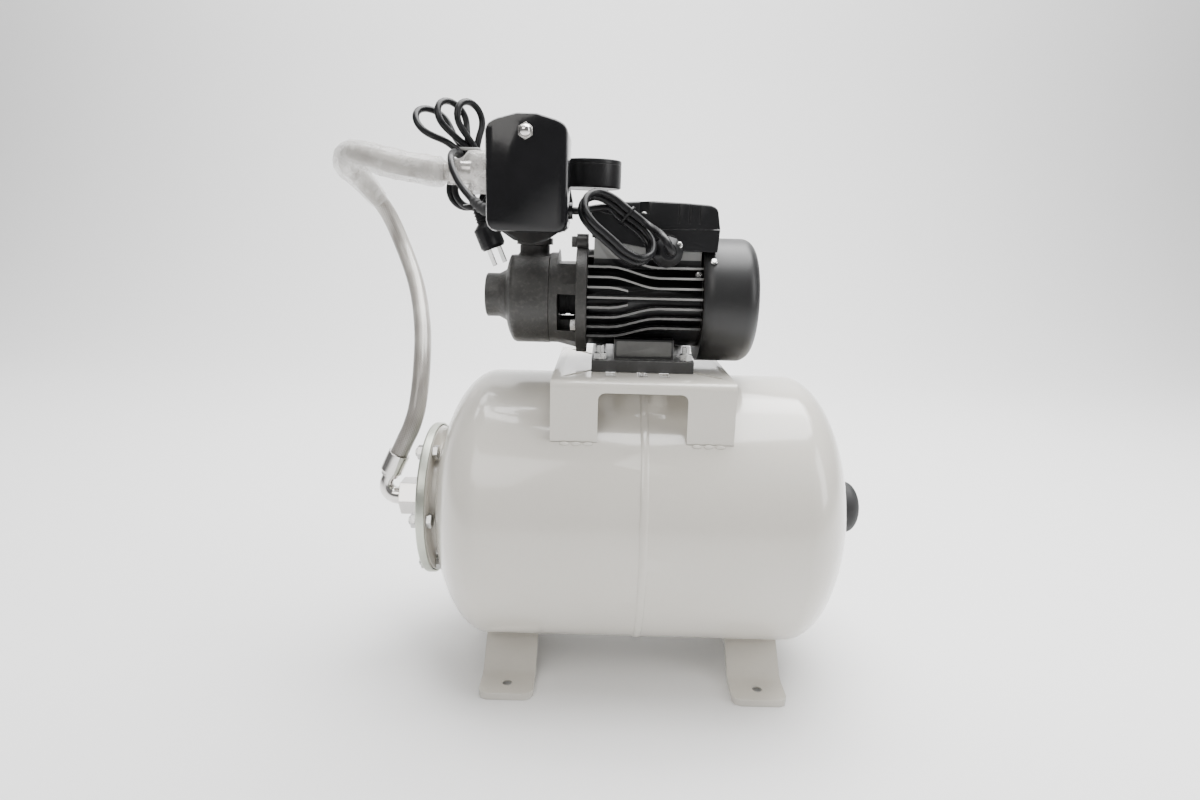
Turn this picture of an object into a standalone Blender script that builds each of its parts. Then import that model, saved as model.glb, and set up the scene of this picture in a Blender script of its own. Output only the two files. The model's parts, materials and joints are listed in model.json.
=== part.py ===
# Peripheral pump set: a horizontal pressure tank on two pressed feet, with a peripheral pump,
# a pressure switch and a gauge on its bracket, and a flexible hose down to the tank's flange.
# Metres, +Z up. X runs along the tank, with the fan end at +X, and the viewer stands at -Y.
# X = 0 lies midway between the feet while modelling, and the parent empty then centres the set.

import bmesh
import bpy
from math import atan2, cos, pi, radians, sin, sqrt, tan
from mathutils import Matrix, Vector

for old in list(bpy.data.objects):
    bpy.data.objects.remove(old, do_unlink=True)

GAP = 0.0003                    # clearance between pieces that touch

# Tank
TANK_RADIUS = 0.135
TANK_WALL = 0.0015
TANK_CLEARANCE = 0.0265         # floor to the underside of the tank
TANK_MID_X = 0.003
TANK_STRAIGHT = 0.290
DOME_DEPTH = 0.060
WELD_WIDTH = 0.007
WELD_HEIGHT = 0.0009
TANK_SIDES = 28
TANK_AXIS_Z = TANK_CLEARANCE + TANK_RADIUS
DOME_END = TANK_STRAIGHT / 2 + DOME_DEPTH

# Tank neck, counter-flange and membrane
NECK_RADIUS = 0.0575
NECK_WALL = 0.0030
NECK_REACH = 0.0035             # how far the neck stands out past the dome's end
NECK_PLATE_WIDTH = 0.0170       # plate's rim beyond the neck
NECK_PLATE_RADIUS = NECK_RADIUS + NECK_PLATE_WIDTH
NECK_PLATE_THICKNESS = 0.0040
MEMBRANE_WALL = 0.0019
MEMBRANE_LIP_WIDTH = 0.0055
MEMBRANE_CLEARANCE = 0.0215     # bag to the shell's wall
MEMBRANE_THROAT = 0.0120        # straight throat inside the neck
MEMBRANE_SHOULDER = 0.0400      # full width starts this far inside the shell's straight
MEMBRANE_SETBACK = 0.0350       # blind end to the end of the shell's straight
MEMBRANE_RADIUS = TANK_RADIUS - TANK_WALL - MEMBRANE_CLEARANCE
MEMBRANE_LENGTH = TANK_STRAIGHT / 2 - MEMBRANE_SETBACK
FLANGE_OVERHANG = 0.0030        # flange beyond the neck's plate
FLANGE_RADIUS = NECK_PLATE_RADIUS + FLANGE_OVERHANG
FLANGE_THICKNESS = 0.0030
FLANGE_LIP = 0.0090
FLANGE_LIP_WALL = 0.0020
FLANGE_BOSS_RISE = 0.0025
FLANGE_THREAD_RADIUS = 0.0169
FLANGE_BOLTS = 6
FLANGE_BOLT_EDGE = 0.0075       # bolt's axis to the edge of the neck's plate
FLANGE_BOLT_CIRCLE = NECK_PLATE_RADIUS - FLANGE_BOLT_EDGE
FLANGE_BOLT_RADIUS = 0.0040
FLANGE_BOLT_FLATS = 0.0130
FLANGE_BOLT_HEAD = 0.0050
FLANGE_BOSS_INSET = 0.0230      # raised middle inside the circle of the bolts
FLANGE_BOSS_RADIUS = FLANGE_BOLT_CIRCLE - FLANGE_BOSS_INSET
NECK_END_X = TANK_MID_X - DOME_END - NECK_REACH
FLANGE_INNER_X = NECK_END_X - MEMBRANE_WALL - 2 * GAP
FLANGE_OUTER_X = FLANGE_INNER_X - FLANGE_THICKNESS
FLANGE_BOSS_X = FLANGE_OUTER_X - FLANGE_BOSS_RISE

# Air valve on the tank's other end
VALVE_STEM_RADIUS = 0.0040
VALVE_STEM_LENGTH = 0.0185
VALVE_COLLAR_RADIUS = 0.0240
VALVE_COLLAR_HEIGHT = 0.0060
VALVE_BORE_RADIUS = 0.0018
VALVE_BORE_DEPTH = 0.0120
VALVE_CORE_HEAD = 0.0008        # how far the core stands out of its stem
CAP_WALL = 0.0020
CAP_RIM_LIFT = 0.0010
CAP_SKIRT = 0.0115
CAP_HEIGHT = 0.0255
CAP_RADIUS = VALVE_COLLAR_RADIUS + GAP + CAP_WALL
POLE_X = TANK_MID_X + DOME_END

# Feet
FOOT_X = 0.1215
FOOT_WIDTH = 0.0520
FOOT_HALF_DEPTH = 0.1116
FOOT_HEIGHT = 0.0070
FOOT_SHEET = 0.0022
FOOT_BEND_Y = 0.0740
FOOT_SADDLE_Y = 0.0480
FOOT_HOLE_Y = 0.0935
FOOT_HOLE_RADIUS = 0.0045
FOOT_CORNER = 0.0080

# Pump bracket
BRACKET_HALF_LENGTH = 0.0820
BRACKET_HALF_DEPTH = 0.0996
BRACKET_RISE = 0.0123           # plate top above the tank's crown
BRACKET_SHEET = 0.0025
BRACKET_CORNER = 0.0060
WINDOW_HALF_WIDTH = 0.0397
WINDOW_TOP_DROP = 0.0105
WINDOW_CORNER = 0.0060
SLOT_XS = (-0.0290, 0.0000, 0.0207)
SLOT_WIDTH = 0.0090
SLOT_NEAR_Y = 0.0755
SLOT_FAR_Y = 0.0400
SLANT_SLOT_WIDTH = 0.0045
SLANT_SLOTS = ((-0.0700, -0.0780, -0.0440, -0.0420), (0.0720, -0.0740, 0.0480, -0.0440))
BRACKET_TOP_Z = TANK_AXIS_Z + TANK_RADIUS + BRACKET_RISE

# Motor
SHAFT_HEIGHT = 0.0646           # shaft above the bracket's plate
SHAFT_Z = BRACKET_TOP_Z + SHAFT_HEIGHT
HOUSING_FRONT_X = -0.0528
HOUSING_REAR_X = 0.0540
HOUSING_RADIUS = 0.0462
HOUSING_WALL = 0.0032
BORE_RADIUS = HOUSING_RADIUS - HOUSING_WALL
FIN_PITCH = 0.0091
FIN_MID_RISE = 0.0044           # middle fin above the shaft
FIN_THICKNESS = 0.0019
FIN_TIP_RADIUS = 0.0560
FIN_WAVE_START_X = -0.0320
FIN_WAVE_END_X = 0.0125
FIN_SHORT_END_X = -0.0150
FIN_ROWS = 4                    # rows above and below the middle fin
FIN_WAVE_STEPS = 6
FIN_END_SETBACK = 0.0005
MOTOR_BASE_X = (-0.0470, 0.0482)
MOTOR_BASE_HALF_DEPTH = 0.0555
MOTOR_BASE_THICKNESS = 0.0109
PEDESTAL_X = (-0.0262, 0.0295)
PEDESTAL_HALF_DEPTH = 0.0460
PEDESTAL_HEIGHT = 0.0180
BASE_BOLT_X = (-0.0390, 0.0410)
BASE_BOLT_EDGE = 0.0075         # bolt's axis to the edge of the motor's base plate
BASE_BOLT_Y = MOTOR_BASE_HALF_DEPTH - BASE_BOLT_EDGE
BASE_BOLT_RADIUS = 0.0038
BASE_BOLT_FLATS = 0.0110
BASE_BOLT_END = 0.0135          # stud above the motor's base plate
PAD_X = (-0.0470, 0.0520)
PAD_HALF_DEPTH = 0.0390
PAD_ROOT = 0.0300               # pad's underside above the shaft
STATOR_BORE_RADIUS = 0.0275
STATOR_X = (-0.0300, 0.0340)
WINDING_REACH = 0.0110
WINDING_INNER_RADIUS = 0.0295
WINDING_OUTER_RADIUS = 0.0400
ROTOR_AIR_GAP = 0.0010
ROTOR_X = (-0.0280, 0.0320)
BEARING_BORE_RADIUS = 0.0060
BEARING_OUTER_RADIUS = 0.0160
BEARING_WIDTH = 0.0100
SHAFT_BODY_RADIUS = 0.0090
SHAFT_SEAL_RADIUS = 0.0052
SEAL_HEAD_RADIUS = 0.0092
SEAL_HEAD_LENGTH = 0.0090
SHIELD_THICKNESS = 0.0057
SHIELD_SPIGOT = 0.0040
SHIELD_RIM = 0.0070
SHIELD_RIM_WALL = 0.0040
FAN_COVER_RADIUS = 0.0594
FAN_COVER_WALL = 0.0012
FAN_COVER_FRONT_X = 0.0541
FAN_COVER_END_X = 0.1072
FAN_COVER_ROUND_X = 0.0934
FAN_COVER_FACE_RADIUS = 0.0440
GRILLE_SLOTS = 12
GRILLE_SLOT_WIDTH = 0.0032
GRILLE_INNER_RADIUS = 0.0150
GRILLE_OUTER_RADIUS = 0.0410
FAN_X = (0.0740, 0.0920)
FAN_HUB_RADIUS = 0.0130
FAN_BLADES = 8
FAN_BLADE_THICKNESS = 0.0020
FAN_TIP_RADIUS = 0.0500
FAN_DISC_RADIUS = 0.0300
FAN_DISC_THICKNESS = 0.0020
COVER_SCREW_X = 0.0626
COVER_SCREW_RADIUS = 0.0016
COVER_SCREW_HEAD_RADIUS = 0.0036
COVER_SCREW_HEAD = 0.0022
COVER_SCREW_ANGLES = (50.0, 230.0)

# Pump end
ADAPTER_FACE_X = -0.0884        # where the adapter meets the casing
ADAPTER_RADIUS = 0.0456
ADAPTER_STEP_X = -0.0813
ADAPTER_FLARE_RADIUS = 0.0500
MOTOR_FLANGE_RADIUS = 0.0545
MOTOR_FLANGE_X = (-0.0629, -0.0531)
SPIGOT_LENGTH = 0.0041
LANTERN_X = (-0.0808, -0.0629)  # open space between the pump and the motor flange
LANTERN_RADIUS = 0.0290
LANTERN_TOP = 0.0331            # flat top of the lantern above the shaft
LANTERN_WEB = 0.0036            # wall that carries the front bearing
VENT_HALF_GAP = 0.0200
VENT_Z = (-0.0294, 0.0056)      # side windows, from the shaft
SEAL_BORE_RADIUS = 0.0105
EAR_RADIUS = 0.0075
EAR_PROUD = 0.0006              # ears stand out of the motor flange's front
ADAPTER_BOLTS = ((-0.0430, -0.0225), (0.0430, -0.0225), (-0.0200, 0.0530), (0.0200, 0.0530))
ADAPTER_BOLT_RADIUS = 0.0028
ADAPTER_BOLT_FLATS = 0.0100
ADAPTER_BOLT_HEAD = 0.0046
CASING_BACK_X = ADAPTER_FACE_X - GAP
CASING_CHAMFER_X = -0.1205
CASING_FRONT_X = -0.1289
CASING_FACE_RADIUS = 0.0375
CASING_FLAT_TOP = 0.0390        # cast flat above the shaft
CHAMBER_DEPTH = 0.0113
IMPELLER_RADIUS = 0.0360
IMPELLER_THICKNESS = 0.0080
IMPELLER_VANES = 18
IMPELLER_VANE_DEPTH = 0.0050
IMPELLER_RUNNING_GAP = 0.0006
SUCTION_CONE_X = -0.1318
SUCTION_CONE_RADIUS = 0.0253
SUCTION_PORT_X = (-0.1515, -0.1385)
SUCTION_PORT_RADIUS = 0.0211
SUCTION_BORE_RADIUS = 0.0150
PORT_X = -0.1050                # discharge port, and the fitting's upright
PORT_RADIUS = 0.0145
PORT_BORE_RADIUS = 0.0105
PORT_RISE = 0.0100              # port above the cast flat
PORT_FLARE = 0.0014
CHAMBER_RADIUS = IMPELLER_RADIUS + IMPELLER_RUNNING_GAP
CHAMBER_X = CASING_BACK_X - CHAMBER_DEPTH
PORT_TOP_Z = SHAFT_Z + CASING_FLAT_TOP + PORT_RISE

# Terminal box
BOX_HALF_DEPTH = 0.0470
BOX_SIDE_WALL = 0.0075
BOX_FLOOR = 0.0030
BOX_HOLLOW_END_X = 0.0500
BOX_RELIEF = 0.0008             # clearance over the fan cover
BOX_LEFT_X = -0.0502
BOX_RIGHT_X = 0.0665
BOX_BOTTOM_LEFT = 0.0576        # heights above the shaft
BOX_BOTTOM_KNEE = 0.0481
BOX_BOTTOM_RIGHT = 0.0469
BOX_KNEE_X = 0.0100
SPLIT_LEFT = 0.0820
SPLIT_SHOULDER = 0.0803
SPLIT_SHOULDER_X = -0.0417
SPLIT_KNEE = 0.0664
SPLIT_KNEE_X = 0.0148
SPLIT_RIGHT = 0.0668
LID_WALL = 0.0030
LID_TOP = ((0.0640, 0.0852), (0.0580, 0.0884), (0.0346, 0.0898), (0.0050, 0.0908),
           (-0.0268, 0.0891), (-0.0440, 0.0862))
LID_ROOF = 0.0030
LID_NOTCH_X = (-0.0070, 0.0018)
LID_NOTCH_DEPTH = 0.0048
LID_NOTCH_FLOOR = 0.0795
LID_GROOVES = (0.0290, 0.0385, 0.0480)
LID_GROOVE_WIDTH = 0.0014
LID_GROOVE_DEPTH = 0.0012
LID_GROOVE_FLOOR = 0.0715
EDGE_ROUND = 0.0030
CAPACITOR_RADIUS = 0.0125
CAPACITOR_X = (0.0110, 0.0490)
GLAND_X = 0.0191
GLAND_RISE = 0.0468             # gland above the shaft
GLAND_RADIUS = 0.0135
GLAND_LENGTH = 0.0197
GLAND_BOSS_RADIUS = 0.0148
GLAND_BOSS_REACH = 0.0030

# Fitting, gauge and pressure switch
FITTING_COLLAR_RADIUS = 0.0175
FITTING_COLLAR_HEIGHT = 0.0062
FITTING_RADIUS = 0.0150
OUTLET_BOSS_RADIUS = 0.0185
OUTLET_BOSS_HEIGHT = 0.0160
OUTLET_BORE_RADIUS = 0.0145
FITTING_NIPPLE_LENGTH = 0.0115
FITTING_BORE_RADIUS = 0.0062
ARM_RISE = 0.0661               # hose and gauge arms above the pump's outlet
SWITCH_PORT_RISE = 0.0396       # switch's arm above the pump's outlet
OUTLET_RISE = 0.0332            # fitting's open top above its arms
ARM_Z = PORT_TOP_Z + ARM_RISE
SWITCH_PORT_Z = PORT_TOP_Z + SWITCH_PORT_RISE
HOSE_ARM_X = -0.1480
HOSE_ARM_RADIUS = 0.0125
GAUGE_ARM_X = -0.0885
GAUGE_ARM_RADIUS = 0.0095
SWITCH_ARM_Y = -0.0300
SWITCH_ARM_RADIUS = 0.0110
GAUGE_X = -0.0528
GAUGE_RADIUS = 0.0294
GAUGE_HEIGHT = 0.0256
GAUGE_RIM_WALL = 0.0021
GAUGE_DIAL_DEPTH = 0.0066
GAUGE_STEM_REACH = 0.0065
POINTER_LENGTH = 0.0215
POINTER_TAIL = 0.0070
POINTER_HALF_WIDTH = 0.0016
POINTER_THICKNESS = 0.0008
POINTER_ZERO = 225.0            # degrees from +X, seen from above
GLASS_THICKNESS = 0.0015
GLASS_DROP = 0.0014
SWITCH_X = (-0.1355, -0.0690)
SWITCH_BELOW = 0.0280           # bottom of the switch below its port
SWITCH_ABOVE = 0.0565           # shoulders of the switch above its port
SWITCH_Z = (SWITCH_PORT_Z - SWITCH_BELOW, SWITCH_PORT_Z + SWITCH_ABOVE)
SWITCH_CROWN = 0.0072           # arch of the cover above its shoulders
SWITCH_ARCH = 0.0600            # radius of the arched top
SWITCH_CORNER = 0.0090
SWITCH_FRONT_Y = -0.1100
SWITCH_SPLIT_Y = -0.0550
SWITCH_PLATE = 0.0050
SWITCH_WALL = 0.0022
SWITCH_EDGE = 0.0040
DIAPHRAGM_RADIUS = 0.0380
DIAPHRAGM_DEPTH = 0.0090
SWITCH_NECK_RADIUS = 0.0180
STUD_DROP = 0.0061              # cover's stud below the shoulders
STUD_Z = SWITCH_Z[1] - STUD_DROP
STUD_RADIUS = 0.0024
COVER_NUT_FLATS = 0.0115
COVER_NUT_HEX = 0.0048
COVER_NUT_DOME = 0.0048
COVER_NUT_BORE_DEPTH = 0.0060
OUTLET_RADIUS = 0.0075
OUTLET_REACH = 0.0030
OUTLET_Y = -0.0632
OUTLET_LIFT = 0.0195            # lead outlets above the switch's bottom
OUTLET_Z = SWITCH_Z[0] + OUTLET_LIFT
LEVER_BELOW = 0.0150            # lever's pivot below the switch's port
LEVER_LENGTH = 0.0550
LEVER_PIVOT_Z = SWITCH_PORT_Z - LEVER_BELOW
LEVER_WIDTH = 0.0140
LEVER_THICKNESS = 0.0016
LEVER_HUB_RADIUS = 0.0024
PLUNGER_RADIUS = 0.0040

# Hose, socket and elbow
HOSE_RADIUS = 0.0090
NUT_FLATS = 0.0340
NUT_LENGTH = 0.0240
NUT_OVERLAP = 0.0083            # how far the nut reaches over the fitting's arm
FERRULE_RADIUS = 0.0113
FERRULE_LENGTH = 0.0220
SLEEVE_RADIUS = 0.0092
SLEEVE_LENGTH = 0.0050          # narrow end of the ferrule at the elbow
SLEEVE_OVERLAP = 0.0045         # how far it reaches over the elbow's tip
SOCKET_FLATS = 0.0340
SOCKET_LENGTH = 0.0290
SOCKET_SHANK = 0.0070
SOCKET_BORE_RADIUS = 0.0095
SOCKET_BORE_DEPTH = 0.0090
ELBOW_RUN = 0.0047              # straight run between the socket and the bend
ELBOW_BEND = 0.0120
ELBOW_TURN = 115.0
ELBOW_RADIUS = 0.0092
ELBOW_TIP_RADIUS = 0.0068
ELBOW_TIP = 0.0100
ELBOW_STEPS = 7

# Electric leads
LEAD_RADIUS = 0.00325
MOTOR_HANK_DEPTH = 0.0130
MOTOR_HANK_FRONT_Y = -0.0650
MAINS_HANK_Y = (0.0040, 0.0340)
PLUG_TOP_LIFT = 0.0035          # plug's top above the lead outlets
PLUG_TOP = (-0.1610, 0.0020, OUTLET_Z + PLUG_TOP_LIFT)
PLUG_TILT = 22.0
PLUG_TWIST = 45.0
PLUG_RELIEF = 0.0160
PLUG_BODY = 0.0260
PLUG_WIDTH = 0.0240
PLUG_DEPTH = 0.0165
BLADE_LENGTH = 0.0160
BLADE_WIDTH = 0.0063
BLADE_THICKNESS = 0.0015
BLADE_SPACING = 0.0127

# Routes, as points chosen along each cord
HOSE_ROUTE = (
    (-0.2231, -0.0010, 0.4915), (-0.2418, 0.0000, 0.4948), (-0.2630, 0.0070, 0.5000),
    (-0.2892, 0.0310, 0.5050), (-0.3070, 0.0681, 0.4985), (-0.3047, 0.1024, 0.4860),
    (-0.2868, 0.1315, 0.4542), (-0.2695, 0.1341, 0.4135), (-0.2490, 0.1074, 0.3719),
    (-0.2327, 0.0627, 0.3324), (-0.2258, 0.0278, 0.2943), (-0.2265, 0.0090, 0.2580),
    (-0.2315, 0.0020, 0.2365))
MOTOR_LEAD_ROUTE = (
    (-0.0520, -0.0685, 0.4530), (-0.0410, -0.0735, 0.4505), (-0.0270, -0.0780, 0.4440),
    (-0.0120, -0.0830, 0.4355), (0.0020, -0.0885, 0.4280), (0.0130, -0.0910, 0.4225))
MAINS_LEAD_ROUTE = (
    (-0.1560, -0.0580, 0.4620), (-0.1670, -0.0510, 0.4740), (-0.1755, -0.0410, 0.4880),
    (-0.1795, -0.0270, 0.5000), (-0.1795, -0.0090, 0.5055), (-0.1785, 0.0080, 0.5040),
    (-0.1750, 0.0190, 0.4950), (-0.1725, 0.0190, 0.4820), (-0.1695, 0.0115, 0.4700))
MOTOR_HANK_OUTLINE = (
    (-0.0600, 0.4645), (-0.0460, 0.4580), (-0.0300, 0.4465), (-0.0060, 0.4360),
    (0.0015, 0.4310), (0.0030, 0.4230), (0.0025, 0.4120), (-0.0090, 0.4160),
    (-0.0260, 0.4240), (-0.0380, 0.4320), (-0.0495, 0.4450), (-0.0510, 0.4580),
    (-0.0600, 0.4605))
MAINS_HANK_OUTLINE = (
    (-0.1700, 0.5076), (-0.1590, 0.5160), (-0.1620, 0.5390), (-0.1700, 0.5530),
    (-0.1870, 0.5600), (-0.2030, 0.5580), (-0.2170, 0.5480), (-0.2200, 0.5350),
    (-0.2090, 0.5220), (-0.1880, 0.5076))

# Sides of round pieces
LARGE_SIDES = 20
MEMBRANE_SIDES = TANK_SIDES // 2
MEDIUM_SIDES = 16
SMALL_SIDES = 12
BOLT_SIDES = 6

ELBOW_LEFT_X = FLANGE_BOSS_X - GAP - SOCKET_LENGTH - ELBOW_RUN - ELBOW_BEND - ELBOW_RADIUS
CAP_END_X = POLE_X + CAP_HEIGHT
ROOT_X = -(ELBOW_LEFT_X + CAP_END_X) / 2

root = bpy.data.objects.new("pump_set", None)
root.location = (ROOT_X, 0.0, 0.0)
bpy.context.scene.collection.objects.link(root)

# Colour, roughness and metallic value of each finish
FINISHES = {
    "cream paint": ((0.72, 0.69, 0.64), 0.22, 0.0),
    "charcoal paint": ((0.045, 0.042, 0.040), 0.45, 0.2),
    "black paint": ((0.012, 0.012, 0.013), 0.35, 0.1),
    "satin grey": ((0.07, 0.07, 0.07), 0.42, 0.1),
    "zinc": ((0.42, 0.44, 0.38), 0.38, 0.9),
    "chrome": ((0.75, 0.72, 0.70), 0.14, 1.0),
    "bright steel": ((0.55, 0.55, 0.55), 0.28, 1.0),
    "braid": ((0.60, 0.57, 0.55), 0.35, 0.6),
    "copper": ((0.60, 0.26, 0.12), 0.40, 0.9),
    "brass": ((0.62, 0.48, 0.22), 0.30, 1.0),
    "black plastic": ((0.015, 0.015, 0.015), 0.38, 0.0),
    "rubber": ((0.020, 0.020, 0.020), 0.70, 0.0),
    "glass": ((0.80, 0.84, 0.86), 0.05, 0.0),
    "white": ((0.80, 0.80, 0.78), 0.45, 0.0),
}


def add_piece(name, mesh_data, finish, location=(0.0, 0.0, 0.0), rotation=(0.0, 0.0, 0.0)):
    """One node: an object with its own material under the set's empty."""
    colour, roughness, metallic = FINISHES[finish]
    material = bpy.data.materials.new(name + " " + finish)
    material.use_nodes = True
    shader = material.node_tree.nodes["Principled BSDF"]
    shader.inputs["Base Color"].default_value = (*colour, 1.0)
    shader.inputs["Roughness"].default_value = roughness
    shader.inputs["Metallic"].default_value = metallic
    mesh_data.materials.append(material)
    piece = bpy.data.objects.new(name, mesh_data)
    bpy.context.scene.collection.objects.link(piece)
    piece.parent = root
    piece.location = location
    piece.rotation_euler = rotation
    return piece


def as_mesh(name, bm):
    """Finish a bmesh: weld it, point its faces out and shade it smooth between sharp edges."""
    bmesh.ops.remove_doubles(bm, verts=bm.verts, dist=1e-7)
    bmesh.ops.recalc_face_normals(bm, faces=bm.faces)
    mesh_data = bpy.data.meshes.new(name)
    bm.to_mesh(mesh_data)
    bm.free()
    mesh_data.shade_smooth()
    mesh_data.set_sharp_from_angle(angle=radians(32))
    return mesh_data


def merged(*parts):
    """Several separate shapes in one bmesh, for a tool that cuts or joins them all at once."""
    whole = bmesh.new()
    for part in parts:
        holder = bpy.data.meshes.new("holder")
        part.to_mesh(holder)
        part.free()
        whole.from_mesh(holder)
        bpy.data.meshes.remove(holder)
    return whole


def use_tool(target, bm, operation):
    """Cut a shape out of the target, or join it on, with a Boolean modifier."""
    tool = bpy.data.objects.new(target.name + "_" + operation.lower(), as_mesh("tool", bm))
    bpy.context.scene.collection.objects.link(tool)
    tool.parent = root
    tool.hide_render = True
    tool.display_type = "WIRE"
    modifier = target.modifiers.new(operation.lower(), "BOOLEAN")
    modifier.operation = operation
    modifier.solver = "EXACT"
    modifier.object = tool


def cut(target, *parts):
    use_tool(target, merged(*parts), "DIFFERENCE")


def join(target, *parts):
    use_tool(target, merged(*parts), "UNION")


def axis_matrix(axis, centre):
    """Turn a shape that was made along X onto another axis, and move it to its centre."""
    turns = {
        "X": Matrix.Identity(4),
        "Y": Matrix.Rotation(radians(90), 4, "Z"),
        "Z": Matrix.Rotation(radians(-90), 4, "Y"),
    }
    return Matrix.Translation(Vector(centre)) @ turns[axis]


def turned(profile, sides, axis="X", centre=(0.0, 0.0, 0.0)):
    """Revolve a profile of (along, radius) points. It is closed unless it ends on the axis."""
    bm = bmesh.new()
    verts = [bm.verts.new((along, 0.0, radius)) for along, radius in profile]
    edges = [bm.edges.new(pair) for pair in zip(verts, verts[1:])]
    if profile[0][1] > 0.0 or profile[-1][1] > 0.0:
        edges.append(bm.edges.new((verts[-1], verts[0])))
    bmesh.ops.spin(bm, geom=verts + edges, cent=(0, 0, 0), axis=(1, 0, 0), angle=2 * pi,
                   steps=sides, use_merge=True)
    bmesh.ops.remove_doubles(bm, verts=bm.verts, dist=1e-7)
    bmesh.ops.recalc_face_normals(bm, faces=bm.faces)
    bm.transform(axis_matrix(axis, centre))
    return bm


def rod(start, end, radius, sides, axis="X", centre=(0.0, 0.0, 0.0)):
    """A plain cylinder between two places on an axis through the centre."""
    return turned(((start, 0.0), (start, radius), (end, radius), (end, 0.0)), sides, axis, centre)


def prism(outline, start, end, axis="Y"):
    """Extrude a flat outline. Its points are (x, z) along Y, (x, y) along Z, (y, z) along X."""
    places = {
        "Y": lambda u, v, w: (u, w, v),
        "Z": lambda u, v, w: (u, v, w),
        "X": lambda u, v, w: (w, u, v),
    }
    bm = bmesh.new()
    verts = [bm.verts.new(places[axis](u, v, start)) for u, v in outline]
    face = bm.faces.new(verts)
    grown = bmesh.ops.extrude_face_region(bm, geom=[face])
    shift = Vector(places[axis](0.0, 0.0, end - start))
    bmesh.ops.translate(bm, vec=shift, verts=[v for v in grown["geom"]
                                              if isinstance(v, bmesh.types.BMVert)])
    bmesh.ops.recalc_face_normals(bm, faces=bm.faces)
    return bm


def block(x_range, y_range, z_range):
    outline = ((x_range[0], z_range[0]), (x_range[1], z_range[0]),
               (x_range[1], z_range[1]), (x_range[0], z_range[1]))
    return prism(outline, y_range[0], y_range[1])


def loft(rings):
    """Skin a row of rings that have as many points each, and close both ends."""
    bm = bmesh.new()
    rows = [[bm.verts.new(point) for point in ring] for ring in rings]
    count = len(rows[0])
    for near, far in zip(rows, rows[1:]):
        for i in range(count):
            j = (i + 1) % count
            bm.faces.new((near[i], near[j], far[j], far[i]))
    bm.faces.new(rows[0])
    bm.faces.new(rows[-1])
    bmesh.ops.recalc_face_normals(bm, faces=bm.faces)
    return bm


def ring_points(radius, sides, flats=False):
    """Points around a circle, or around a hexagon whose half width is the radius."""
    points = []
    for i in range(sides):
        angle = 2 * pi * i / sides
        reach = radius
        if flats and sides == 6:
            reach = radius / cos(pi / 6)
        elif flats:
            reach = radius / cos((angle + pi / 6) % (pi / 3) - pi / 6)
        points.append((reach * cos(angle), reach * sin(angle)))
    return points


def stacked(stations, sides, axis="X", centre=(0.0, 0.0, 0.0), turn=0.0):
    """Loft of round and hexagonal rings, each given as (along, half width, is a hexagon)."""
    rings = []
    for along, radius, flats in stations:
        rings.append([(along, u, v) for u, v in ring_points(radius, sides, flats)])
    bm = loft(rings)
    bm.transform(axis_matrix(axis, centre) @ Matrix.Rotation(radians(turn), 4, "X"))
    return bm


def filleted(corners, steps=3):
    """Round the corners of an outline. Each corner is (u, v, radius)."""
    points = []
    for i, (u, v, radius) in enumerate(corners):
        here = Vector((u, v))
        before = (Vector(corners[i - 1][:2]) - here).normalized()
        after = (Vector(corners[(i + 1) % len(corners)][:2]) - here).normalized()
        if radius <= 0.0:
            points.append((u, v))
            continue
        half = before.angle(after) / 2
        centre = here + (before + after).normalized() * (radius / sin(half))
        first = here + before * (radius / tan(half)) - centre
        sweep = first.angle_signed(here + after * (radius / tan(half)) - centre)
        start = atan2(first.y, first.x)
        for k in range(steps + 1):
            angle = start - sweep * k / steps
            points.append((centre.x + radius * cos(angle), centre.y + radius * sin(angle)))
    return points


def round_edges(bm, chosen, width, steps=2):
    """Round the edges whose two ends both pass the chosen test."""
    edges = [e for e in bm.edges if all(chosen(v.co) for v in e.verts)]
    bmesh.ops.bevel(bm, geom=edges, offset=width, offset_type="OFFSET", segments=steps,
                    profile=0.5, affect="EDGES")
    return bm


def smooth_route(points, spacing):
    """Evenly spaced points on a smooth curve through the given ones, from second to last but one."""
    knots = [Vector(p) for p in points]
    dense = []
    for a, b, c, d in zip(knots, knots[1:], knots[2:], knots[3:]):
        for k in range(24):
            t = k / 24
            dense.append(0.5 * ((2 * b) + (c - a) * t + (2 * a - 5 * b + 4 * c - d) * t ** 2
                                + (3 * b - a - 3 * c + d) * t ** 3))
    dense.append(knots[-2])
    length = sum((q - p).length for p, q in zip(dense, dense[1:]))
    count = round(length / spacing)
    route = [dense[0]]
    walked = 0.0
    for p, q in zip(dense, dense[1:]):
        step = (q - p).length
        while walked + step >= len(route) * length / count and len(route) < count:
            route.append(p.lerp(q, (len(route) * length / count - walked) / step))
        walked += step
    route.append(dense[-1])
    return route


def cord(name, start, start_way, middle, end, end_way, radius, finish, resolution):
    """A cord's uncoiled stretch, as a round tube that leaves both its ends straight."""
    start = Vector(start)
    end = Vector(end)
    stub = 1.8 * radius
    points = [start, start + Vector(start_way) * stub, *middle,
              end + Vector(end_way) * stub, end]
    route = [start] + smooth_route(points, radius * 5) + [end]
    curve = bpy.data.curves.new(name, "CURVE")
    curve.dimensions = "3D"
    curve.bevel_depth = radius
    curve.bevel_resolution = resolution
    curve.use_fill_caps = True
    spline = curve.splines.new("POLY")
    spline.points.add(len(route) - 1)
    for point, place in zip(spline.points, route):
        point.co = (*place, 1.0)
    return add_piece(name, curve, finish)


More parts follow.
